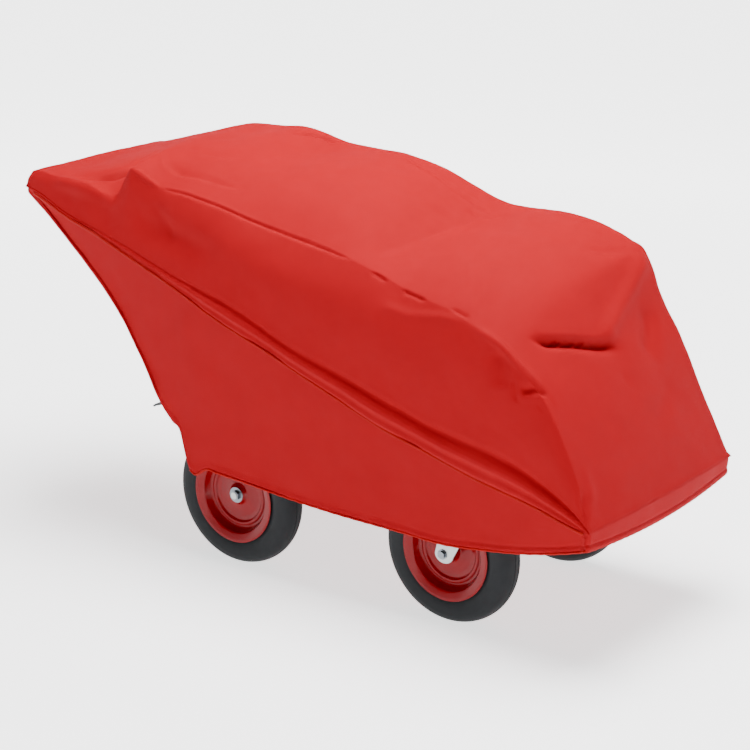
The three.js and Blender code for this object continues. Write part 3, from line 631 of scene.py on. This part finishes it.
def press_folds(points, normals, folds):
    shift = np.zeros(points.shape[:2])
    for f in folds:
        path = f["points"]
        lengths = np.linalg.norm(np.diff(path, axis=0), axis=1)
        total = lengths.sum()
        run = 0.0
        best = np.full(points.shape[:2], 1e9)
        value = np.zeros(points.shape[:2])
        for a, b, length in zip(path[:-1], path[1:], lengths):
            along = (b - a) / length
            offset = points - a
            t = np.clip((offset @ along) / length, 0, 1)
            away = offset - t[..., None] * (b - a)
            distance = np.linalg.norm(away, axis=2)
            side = np.cross(np.broadcast_to(along, normals.shape), normals)
            signed = (away * side).sum(axis=2)
            place = (run + t * length) / total
            taper = smooth(place / f["ends"]) * smooth((1 - place) / f["ends"])
            d = distance / f["width"]
            s = signed / f["width"]
            here = f["depth"] * np.exp(-d * d) + f["step"] * s * np.exp(0.5 - 0.5 * d * d)
            closer = distance < best
            best = np.where(closer, distance, best)
            value = np.where(closer, here * taper, value)
            run += length
        shift += value
    return points + normals * shift[..., None]


def rumple(points, normals, height, size, seed):
    flat = points.reshape(-1, 3)
    shift = np.array([noise.fractal(Vector(p) / size + Vector((seed, 0, 0)), 0.8, 2.0, 3) for p in flat])
    return points + normals * (height * shift).reshape(points.shape[:2])[..., None]


# ---------------------------------------------------------------- cover: panels
def corner_points(before, corner, after, closeness):
    """Control points that draw the cloth into a corner, the tighter the smaller closeness is."""
    def towards(other, share):
        return tuple(c + (o - c) * share for c, o in zip(corner, other))
    return [towards(before, closeness), corner, towards(after, closeness)]


def top_surface(rows, columns):
    """The top panel before its folds, from the right seam over to the left one."""
    tail = np.linspace(0, 0.02, 9)[:-1]
    body = np.linspace(0.02, 0.975, rows - 20)
    nose = np.linspace(0.975, 1, 13)[1:]
    ends = np.concatenate([tail, body, nose])
    x = TAIL_X + (NOSE_X - TAIL_X) * ends
    edge = seam_half_width(x)
    low = follow(SEAM_LOW, x)
    high = follow(SEAM_HIGH, x)
    right_shoulder = follow(RIGHT_SHOULDER_HALF_WIDTH, x)
    left_shoulder = follow(LEFT_SHOULDER_HALF_WIDTH, x)
    wall = follow(RIGHT_WALL_HALF_WIDTH, x)
    right = follow(RIGHT_SHOULDER_Z, x)
    left = follow(LEFT_SHOULDER_Z, x)
    middle = follow(MIDDLE_Z, x)
    right_wall = (-wall, high + (right - high) * 0.45)
    right_slope = (-wall + 0.2 * (wall - right_shoulder), right - 0.28 * np.minimum(right - high, 0.3))
    left_wall = (edge - 0.01, high + (left - high) * 0.5)
    right_corner = (-right_shoulder, right)
    left_corner = (left_shoulder, left)
    right_half = (-0.55 * right_shoulder, right + 0.72 * (middle - right))
    left_half = (0.55 * left_shoulder, 0.5 * (middle + left))
    control = [
        (-edge, low), (-edge, high), right_wall, right_slope,
        *corner_points(right_slope, right_corner, right_half, 0.10),
        right_half, (0 * x, middle), left_half, *corner_points(left_half, left_corner, left_wall, 0.12),
        left_wall, (edge, high), (edge, low),
    ]
    y_control = np.stack([c[0] for c in control], axis=1)
    z_control = np.stack([c[1] for c in control], axis=1)
    quarter = columns // 4
    right_part = np.linspace(0, 0.16, quarter)[:-1]
    top_part = np.linspace(0.16, 0.84, columns - 2 * quarter + 2)
    left_part = np.linspace(0.84, 1, quarter)[1:]
    places = np.concatenate([right_part, top_part, left_part])
    weights = spline_weights(len(control), places)
    y = y_control @ weights.T
    z = z_control @ weights.T
    return np.stack([bow(x[:, None], y), y, z], axis=2)


def roll_seam(points, normals):
    """The soft tuck over each long seam: a groove at its upper line and a rounded bulge below it."""
    x = points[..., 0]
    low = follow(SEAM_LOW, x)
    high = follow(SEAM_HIGH, x)
    t = (points[..., 2] - low) / np.maximum(high - low, 0.004)
    size = np.clip((high - low) / 0.055, 0.2, 1)
    bulge = 0.012 * size * np.exp(-((t - 0.68) / 0.22) ** 2)
    strip = 0.006 * size * np.exp(-((t - 0.12) / 0.24) ** 2)
    groove = -0.010 * size * np.exp(-((t - 1.15) / 0.16) ** 2)
    tuck = -0.004 * size * np.exp(-((t - 0.36) / 0.05) ** 2)
    return points + normals * (bulge + strip + groove + tuck)[..., None]


def build_cover_top():
    rows, columns = ((300, 190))
    points = top_surface(rows, columns)
    normals = grid_normals(points)
    if normals[rows // 2, columns // 2, 2] < 0:
        normals = -normals
    points = press_folds(points, normals, TOP_FOLDS)
    points = rumple(points, normals, 0.0022, 0.12, 3.0)
    points = roll_seam(points, normals)
    obj = grid_object("cover_top_cloth", points)
    face_up(obj, points, normals)
    thicken(obj)
    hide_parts("cover_top")
    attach(obj, "buggy")
    return dress(obj, "cover_cloth")


def face_up(obj, points, normals):
    """Turns the faces to the side that the normals point to."""
    rows, columns = points.shape[:2]
    middle = (rows // 2) * (columns - 1) + columns // 2
    face = obj.data.polygons[min(middle, len(obj.data.polygons) - 1)]
    first = face.vertices[0]
    wanted = normals.reshape(-1, 3)[first]
    if face.normal.dot(Vector(wanted)) < 0:
        obj.data.flip_normals()


def skirt_path():
    """Where the skirt runs in plan, as (x, y): along the right side, round the nose, back on the left."""
    along = np.concatenate([np.linspace(TAIL_X + 0.002, -0.46, 60)[:-1], np.linspace(-0.46, -0.34, 36)[:-1],
                            np.linspace(-0.34, NOSE_X - 0.022, 130)])
    right = [(x, -float(seam_half_width(x))) for x in along]
    corner = 0.012
    turn = []
    for k in range(1, 10):
        a = math.pi / 2 * k / 10
        x = NOSE_X - corner + corner * math.sin(a)
        turn.append((x, -COVER_HALF_WIDTH + corner - corner * math.cos(a)))
    nose = [(NOSE_X, y) for y in np.linspace(-COVER_HALF_WIDTH + corner, COVER_HALF_WIDTH - corner, 90)]
    half = right + turn
    return half + nose + [(x, -y) for x, y in reversed(half)]


def build_skirt():
    path = np.array(skirt_path())
    x, y = path[:, 0], path[:, 1]
    rows = 48
    nose = smooth((x - 0.93) / 0.03)
    high = follow(SEAM_LOW, x) + 0.004 * nose
    dip = 0.016 * nose * (1 - (y / COVER_HALF_WIDTH) ** 2)
    low = np.minimum(follow(HEM, x) - dip, high - 0.001)
    v = np.linspace(0, 1, rows)[:, None]
    z = high + (low - high) * v
    lean = SKIRT_INSET + SIDE_LEAN * v * np.ones_like(x)
    inward_y = np.sign(y) * (1 - nose)
    points = np.stack([bow(x, y) - lean * nose * 0.6, y - lean * inward_y, z], axis=2)
    normals = grid_normals(points)
    flip = np.sign((normals[..., 1] * y + normals[..., 0] * 2 * nose))
    normals = normals * np.where(flip == 0, 1, flip)[..., None]
    points = rumple(points, normals, 0.0022, 0.16, 11.0)
    hem = np.exp(-((points[..., 2] - low - 0.006) / 0.007) ** 2)
    stitch_line = np.exp(-((points[..., 2] - low - 0.017) / 0.0035) ** 2)
    points = points + normals * (0.002 * hem - 0.0015 * stitch_line)[..., None]
    obj = grid_object("cover_skirt_cloth", points)
    face_up(obj, points, normals)
    thicken(obj)
    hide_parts("cover_side_left", "cover_side_right", "cover_nose_band")
    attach(obj, "buggy")
    return dress(obj, "cover_cloth")


def build_rear_panel():
    rows, columns = 70, 80
    z = np.linspace(REAR_TOP_Z, REAR_HEM_Z, rows)[:, None] * np.ones(columns)
    x = follow(REAR_PANEL_X, z)
    half = seam_half_width(x) - 0.006
    y = half * np.linspace(-1, 1, columns)
    fall = np.clip((REAR_TOP_Z - z) / (REAR_TOP_Z - REAR_HEM_Z), 0, 1)
    sag = 0.018 * np.sin(math.pi * fall) * (1 - (y / half) ** 4)
    hem = 0.03 * smooth((0.6 - z) / 0.14) * (1 - (y / half) ** 2)
    points = np.stack([bow(x, y) + sag, y, z + hem], axis=2)
    normals = grid_normals(points)
    if normals[rows // 2, columns // 2, 0] > 0:
        normals = -normals
    points = rumple(points, normals, 0.004, 0.13, 5.0)
    obj = grid_object("cover_rear_cloth", points)
    face_up(obj, points, normals)
    thicken(obj)
    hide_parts("cover_rear")
    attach(obj, "buggy")
    return dress(obj, "cover_cloth")


def build_binding(side, sign):
    """The folded tape over the long seam; its two rows of stitches are made by build_stitches."""
    x = np.linspace(-0.945, 0.945, 220)
    half = seam_half_width(x)
    z = follow(SEAM_LOW, x)
    across = np.array([-1.0, -0.8, 0.0, 0.8, 1.0])
    out = np.array([0.0005, 0.0018, 0.0024, 0.0018, 0.0005])
    y = sign * (half[:, None] + out + 0.0025)
    points = np.stack([x[:, None] * np.ones(5), y, z[:, None] - 0.004 + 0.0045 * across], axis=2)
    tape = grid_object("seam_tape_" + side, points)
    face_outwards(tape)
    if tape.data.polygons[400].normal.y * sign < 0:
        tape.data.flip_normals()
    thicken(tape, 0.0014)
    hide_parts("seam_binding_" + side)
    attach(tape, "buggy")
    return dress(tape, "cover_binding")


def build_hem():
    """The rolled hem with the elastic in it, gathered a little."""
    path = [(x, y) for x, y in skirt_path() if x > -0.345]
    points = []
    for k, (x, y) in enumerate(path):
        nose = float(smooth((x - 0.93) / 0.03))
        dip = 0.016 * nose * (1 - (y / COVER_HALF_WIDTH) ** 2)
        z = float(follow(HEM, x)) - dip - 0.001
        inward = SIDE_LEAN + 0.002
        side = y - math.copysign(inward * (1 - nose), y)
        points.append((float(bow(x, y)) - inward * nose, side, z + 0.0006 * math.sin(k * 1.7)))
    obj = tube_along("hem_elastic_roll", points, 0.0032, 12)
    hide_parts("hem_elastic")
    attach(obj, "buggy")
    return dress(obj, "hem_elastic")


def stitch(points, faces, middle, along, out):
    """One thread stitch: a short spindle that lies along the cloth."""
    side = along.cross(out)
    half = along * STITCH_LENGTH / 2
    ring = [out * STITCH_THICK, side * STITCH_THICK, -out * STITCH_THICK * 0.5, -side * STITCH_THICK]
    first = len(points)
    points.append(middle - half)
    for share in (-0.3, 0.3):
        points.extend(middle + along * STITCH_LENGTH * share + r for r in ring)
    points.append(middle + half)
    for k in range(4):
        n = (k + 1) % 4
        faces.append((first, first + 1 + n, first + 1 + k))
        faces.append((first + 1 + k, first + 1 + n, first + 5 + n, first + 5 + k))
        faces.append((first + 5 + k, first + 5 + n, first + 9))


def build_stitches():
    """Two rows of thread along each long seam's tape."""
    for side, sign in SIDES.items():
        points = []
        faces = []
        places = np.arange(-0.92, 0.92, STITCH_PITCH)
        half = seam_half_width(places)
        heights = follow(SEAM_LOW, places)
        for row in (-0.0062, -0.0018):
            lines = [Vector((x, sign * (w + 0.0049), z + row)) for x, w, z in zip(places, half, heights)]
            for here, after in zip(lines[:-1], lines[1:]):
                along = (after - here).normalized()
                stitch(points, faces, (here + after) / 2, along, Vector((0, sign, 0)))
        thread = new_object("seam_stitches_" + side, points, faces)
        face_outwards(thread)
        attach(thread, "buggy")
        dress(thread, "cover_binding")


# ---------------------------------------------------------------- wheels
def tyre_section():
    outer = [
        (0.118, 0.0305), (0.133, 0.034), (0.142, 0.0385), (0.150, 0.0402), (0.160, 0.0408), (0.172, 0.0395),
        (0.184, 0.0345), (0.192, 0.0270), (0.196, 0.0200), (0.1985, 0.0120),
        (0.1992, 0.0085), (0.1972, 0.0078), (0.1972, 0.0068), (0.1998, 0.0060),
    ]
    return outer + [(r, -a) for r, a in reversed(outer)]


def rim_section(hub_out, hub_in, sign):
    outline = [
        (0.0140, -hub_in), (0.0140, hub_out), (0.0225, hub_out), (0.0265, hub_out - 0.006), (0.031, 0.0130),
        (0.050, 0.0100), (0.066, 0.0090), (0.078, 0.0110), (0.0815, 0.0165), (0.0885, 0.0165),
        (0.092, 0.0125), (0.099, 0.0150), (0.106, 0.0290), (0.1085, 0.0345), (0.120, 0.0385),
        (0.128, 0.0410), (0.1335, 0.0410),
        (0.1340, 0.0390), (0.1190, 0.0345), (0.1130, 0.0280), (0.1130, -0.0280), (0.1190, -0.0345),
        (0.1340, -0.0390), (0.1335, -0.0410), (0.128, -0.0410), (0.1070, -0.0330), (0.1040, 0.0060),
        (0.0990, 0.0110), (0.092, 0.0085), (0.0885, 0.0125), (0.0815, 0.0125), (0.078, 0.0070),
        (0.066, 0.0050),
        (0.031, 0.0050), (0.0260, 0.0000), (0.0225, -hub_in),
    ]
    return [(r, sign * a) for r, a in rounded_section(outline, 0.0035, 4)]


def build_wheel(place, side, sign, x, y, hub):
    centre = (x, sign * y, WHEEL_RADIUS)
    body = f"{place}_wheel_{side}"
    tread = rounded_section(tyre_section(), 0.004, 3)
    tyre = ring_about_y(f"{place}_tyre_round_{side}", tread, centre, 180)
    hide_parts(f"{place}_tyre_{side}")
    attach(tyre, body)
    dress(tyre, "tyre_rubber")
    rim = ring_about_y(f"{place}_rim_pressed_{side}", rim_section(hub[0], hub[1], sign), centre, 180)
    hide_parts(f"{place}_rim_{side}")
    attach(rim, body)
    dress(rim, "rim_paint")


def hexagon_head(name, x, z, face_y, sign, across_flats, height, washer_radius):
    """A hexagon head or nut with rounded corners and a washer, outside a face."""
    corners = []
    for k in range(6):
        angle = (k + 0.5) * math.pi / 3
        reach = across_flats / math.sqrt(3)
        corners.append((x + reach * math.cos(angle), z + reach * math.sin(angle)))
    ends = sorted((face_y + sign * 0.0018, face_y + sign * height))
    head = slab_xz(name + "_head", corners, *ends)
    disc = [(0.001, 0.0), (washer_radius, 0.0), (washer_radius, 0.0018), (0.001, 0.0018)]
    section = [(r, sign * a) for r, a in rounded_section(disc, 0.0005, 2)]
    washer = ring_about_y(name + "_washer", section, (x, face_y, z), 48)
    obj = merge(name, [head, washer])
    return bevel(obj, 0.0009, 3)


def build_fasteners(side, sign):
    nut = hexagon_head("axle_nut_rounded_" + side, REAR_AXLE_X, WHEEL_RADIUS,
                       sign * (REAR_WHEEL_Y + REAR_HUB[0] + 0.0003), sign, 0.026, 0.010, 0.0225)
    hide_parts("rear_axle_nut_" + side)
    wheel = "rear_wheel_" + side
    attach(nut, wheel if "rear_axle_nut_" + side in BODY_NODES[wheel] else "buggy")
    dress(nut, "zinc", BOLT_ZINC)


BODY_NODES = {name: set(nodes) for name, nodes in frame["record"]["behaviour"]["bodies"].items()}


# ---------------------------------------------------------------- caster forks
def fork_outline():
    outline = []
    for k in range(25):
        angle = math.radians(160 + 190 * k / 24)
        outline.append((FRONT_AXLE_X + FORK_FOOT_AHEAD + FORK_FOOT * math.cos(angle),
                        WHEEL_RADIUS + FORK_FOOT * 0.85 * math.sin(angle)))
    top = FORK_CROWN_Z + FORK_PLATE
    outline += [(KINGPIN_X + 0.042, FORK_CROWN_Z - 0.09), (KINGPIN_X + 0.046, top)]
    outline += [(KINGPIN_X - 0.046, top), (KINGPIN_X - 0.046, FORK_CROWN_Z - 0.07)]
    return outline


def build_fork(side, sign):
    middle = sign * FRONT_WHEEL_Y
    legs = []
    for hand in (1, -1):
        ends = sorted((middle + hand * FORK_INSIDE, middle + hand * (FORK_INSIDE + FORK_PLATE)))
        legs.append(slab_xz(f"leg_{hand}", fork_outline(), *ends))
    crown = slab_xz("crown", [
        (KINGPIN_X + 0.044, FORK_CROWN_Z), (KINGPIN_X + 0.044, FORK_CROWN_Z + FORK_PLATE),
        (KINGPIN_X - 0.046, FORK_CROWN_Z + FORK_PLATE), (KINGPIN_X - 0.046, FORK_CROWN_Z),
    ], middle - FORK_INSIDE, middle + FORK_INSIDE)
    fork = bevel(merge("caster_fork_bent_" + side, legs + [crown]), 0.0012, 3)
    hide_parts("caster_fork_" + side)
    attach(fork, "caster_" + side)
    dress(fork, "zinc")


# ---------------------------------------------------------------- handle
def build_handle():
    leg = HANDLE_LEG_Y
    half = [
        (HANDLE_X, 0.10, HANDLE_Z), (HANDLE_X, 0.18, HANDLE_Z), (HANDLE_X, 0.215, HANDLE_Z),
        (HANDLE_X + 0.008, 0.242, HANDLE_Z - 0.003), (HANDLE_X + 0.03, 0.258, HANDLE_Z - 0.011),
        (HANDLE_X + 0.07, 0.268, HANDLE_Z - 0.024), (-0.76, 0.284, 0.906), (-0.64, leg, 0.866),
        (-0.52, leg, 0.826), (-0.40, leg, 0.786),
    ]
    path = [(x, -y, z) for x, y, z in reversed(half)] + [(HANDLE_X, 0, HANDLE_Z)] + half
    tube = tube_along("push_handle_tube", path, HANDLE_TUBE, 24)
    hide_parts("push_handle")
    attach(tube, "buggy")
    dress(tube, "zinc")

    section = rounded_section([
        (HANDLE_TUBE + 0.0004, -GRIP_HALF_LENGTH), (HANDLE_TUBE + 0.0004, GRIP_HALF_LENGTH),
        (GRIP_RADIUS + 0.0005, GRIP_HALF_LENGTH), (GRIP_RADIUS + 0.0005, -GRIP_HALF_LENGTH),
    ], 0.0012, 3)
    grip = ring_about_y("handle_grip_foam", section, (HANDLE_X, 0, HANDLE_Z), 48)
    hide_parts("handle_grip")
    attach(grip, "buggy")
    dress(grip, "handle_foam")


# ---------------------------------------------------------------- carried-over CAD pieces
CARRIED = {
    "frame_rail_left": ("frame_paint", 0.002), "frame_rail_right": ("frame_paint", 0.002),
    "front_cross_beam": ("frame_paint", 0.002), "rear_axle_hanger": ("frame_paint", 0.002),
    "rear_axle": ("zinc", 0.001), "tub": ("tub_plastic", 0.003),
    "seat_shell_rear": ("seat_plastic", 0.003), "seat_shell_middle": ("seat_plastic", 0.003),
    "seat_shell_front": ("seat_plastic", 0.003), "handle_saddle_left": ("zinc", 0.0006),
    "handle_saddle_right": ("zinc", 0.0006), "brake_bearing_left": ("frame_paint", 0.0015),
    "brake_bearing_right": ("frame_paint", 0.0015), "brake_shaft": ("frame_paint", 0.001),
    "brake_pedal": ("frame_paint", 0.0012), "brake_shoe_left": ("brake_rubber", 0.001),
    "brake_shoe_right": ("brake_rubber", 0.001), "rear_hub_bush_left": ("hub_bush", 0.0005),
    "rear_hub_bush_right": ("hub_bush", 0.0005), "caster_plate_left": ("zinc", 0.0012),
    "caster_plate_right": ("zinc", 0.0012), "swivel_bearing_left": ("zinc", 0.001),
    "swivel_bearing_right": ("zinc", 0.001), "kingpin_left": ("zinc", 0.001),
    "kingpin_right": ("zinc", 0.001), "caster_axle_bolt_left": ("zinc", 0.0008),
    "caster_axle_bolt_right": ("zinc", 0.0008), "caster_axle_nut_left": ("zinc", 0.0008),
    "caster_axle_nut_right": ("zinc", 0.0008), "front_hub_sleeve_left": ("hub_bush", 0.0005),
    "front_hub_sleeve_right": ("hub_bush", 0.0005),
}


def dress_carried():
    for name, (slot, edge) in CARRIED.items():
        obj = frame["nodes"][name]
        bevel(obj, edge, 3, 30)
        dress(obj, slot, BOLT_ZINC if "bolt" in name or "nut" in name else None)


# ---------------------------------------------------------------- pads
def pad_blank(name):
    """The pad's closed form from the frame, evenly remeshed and a little smaller, ready to be filled."""
    solid = frame["nodes"][name]
    rough = bpy.data.objects.new(name + "_filled", solid.data.copy())
    rough.data.transform(solid.matrix_world)
    bpy.context.scene.collection.objects.link(rough)
    remesh = rough.modifiers.new("even_mesh", "REMESH")
    remesh.mode = "VOXEL"
    remesh.voxel_size = PAD_VOXEL
    apply_modifiers(rough)
    shrunk = [v.co - v.normal * PAD_SHRINK for v in rough.data.vertices]
    for vertex, place in zip(rough.data.vertices, shrunk):
        vertex.co = place
    rough.data.update()
    return rough


def apply_modifiers(obj):
    bpy.context.view_layer.update()
    graph = bpy.context.evaluated_depsgraph_get()
    mesh = bpy.data.meshes.new_from_object(obj.evaluated_get(graph))
    mesh.name = obj.name
    obj.modifiers.clear()
    obj.data = mesh


def inflate(blanks):
    """Fills the sewn pads with cloth simulation, all together, and keeps the result as their mesh."""
    starts = [[v.co.copy() for v in blank.data.vertices] for blank in blanks]
    for blank in blanks:
        cloth = blank.modifiers.new("filling", "CLOTH")
        cloth.settings.quality = 5
        cloth.settings.mass = 0.25
        cloth.settings.tension_stiffness = 12
        cloth.settings.compression_stiffness = 12
        cloth.settings.bending_stiffness = 0.4
        cloth.settings.use_pressure = True
        cloth.settings.uniform_pressure_force = 4
        cloth.settings.effector_weights.gravity = 0
    for step in range(1, 21):
        bpy.context.scene.frame_set(step)
    for blank, start in zip(blanks, starts):
        apply_modifiers(blank)
        for vertex, before in zip(blank.data.vertices, start):
            move = vertex.co - before
            if move.length > PAD_SWELL:
                vertex.co = before + move.normalized() * PAD_SWELL
    bpy.context.scene.frame_set(1)


def sew_channels(pad, name):
    """Presses the sewn channels into the sitting side, and keeps the back flat on the shell."""
    shell = frame["nodes"][name]
    corners = [shell.matrix_world @ v.co for v in shell.data.vertices]
    tree = BVHTree.FromPolygons(corners, [tuple(f.vertices) for f in shell.data.polygons])
    seat = name.startswith("seat")
    for vertex in pad.data.vertices:
        near, normal, _, _ = tree.find_nearest(vertex.co)
        outside = (vertex.co - near).dot(normal)
        sitting = normal.z > 0.5 if seat else normal.x > 0.5
        allowed = 0.006 if sitting else 0.0
        if outside > allowed:
            vertex.co = near + normal * allowed
        facing = vertex.normal.z if seat else vertex.normal.x
        if facing > 0.2:
            groove = sum(math.exp(-((vertex.co.y - y) / 0.005) ** 2) for y in PAD_CHANNELS)
            vertex.co -= vertex.normal * 0.006 * groove * min(1, facing * 1.5)
    pad.data.update()


def build_pads():
    names = [f"{part}_pad_{row}" for row in SEAT_ROWS for part in ("seat", "back")]
    blanks = [pad_blank(name) for name in names]
    inflate(blanks)
    for name, pad in zip(names, blanks):
        sew_channels(pad, name)
        finer = pad.modifiers.new("finer", "SUBSURF")
        finer.levels = 1
        finer.render_levels = 1
        for polygon in pad.data.polygons:
            polygon.use_smooth = True
        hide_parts(name)
        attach(pad, "buggy")
        dress(pad, "seat_pad")


# ---------------------------------------------------------------- studio
def build_studio():
    corners = [(-30, -30, 0), (30, -30, 0), (30, 30, 0), (-30, 30, 0)]
    floor = new_object("floor", corners, [(0, 1, 2, 3)], False)
    floor.data.materials.append(seamless_white("floor_paper", FLOOR_GLOW, FAR_FLOOR_GLOW))

    turns = [2 * math.pi * k / WALL_SIDES for k in range(WALL_SIDES)]
    foot = [(WALL_DISTANCE * math.cos(a), WALL_DISTANCE * math.sin(a), 0) for a in turns]
    rim = [(x, y, WALL_HEIGHT) for x, y, _ in foot]
    panels = []
    for k in range(WALL_SIDES):
        following = (k + 1) % WALL_SIDES
        panels.append((k, following, WALL_SIDES + following, WALL_SIDES + k))
    wall = new_object("backdrop", foot + rim, panels)
    wall.data.materials.append(seamless_white("wall_paper", WALL_GLOW, WALL_GLOW))

    world = bpy.data.worlds.new("studio")
    bpy.context.scene.world = world
    world.use_nodes = True
    world.node_tree.nodes["Background"].inputs["Color"].default_value = (0.96, 0.98, 1.0, 1)
    world.node_tree.nodes["Background"].inputs["Strength"].default_value = 0.08

    def area(name, place, target, size, energy):
        light = bpy.data.lights.new(name, "AREA")
        light.shape = "RECTANGLE"
        light.size, light.size_y = size
        light.energy = energy
        obj = bpy.data.objects.new(name, light)
        bpy.context.scene.collection.objects.link(obj)
        obj.location = place
        obj.rotation_euler = (Vector(target) - Vector(place)).to_track_quat("-Z", "Y").to_euler()

    area("overhead_softbox", (0.2, 0.4, 4.2), (0, 0, 0.5), (3.0, 2.4), 580)
    area("nose_softbox", (3.6, -2.2, 3.4), (0.5, 0, 0.6), (1.6, 1.6), 18)

    camera = bpy.data.objects.new("camera", bpy.data.cameras.new("camera"))
    bpy.context.scene.collection.objects.link(camera)
    camera.data.lens = CAMERA_LENS
    camera.data.sensor_width = 36
    camera.data.clip_end = 100
    camera.location = CAMERA_AT
    camera.rotation_euler = (math.pi / 2 - CAMERA_PITCH, 0, CAMERA_YAW)
    bpy.context.scene.camera = camera


# ---------------------------------------------------------------- build
cover_top = build_cover_top()
cover_skirt = build_skirt()
cover_rear = build_rear_panel()
for side, sign in SIDES.items():
    build_binding(side, sign)
    build_wheel("rear", side, sign, REAR_AXLE_X, REAR_WHEEL_Y, REAR_HUB)
    build_wheel("front", side, sign, FRONT_AXLE_X, FRONT_WHEEL_Y, FRONT_HUB)
    build_fasteners(side, sign)
    build_fork(side, sign)
build_hem()
build_stitches()
build_handle()
build_pads()
dress_carried()
build_studio()
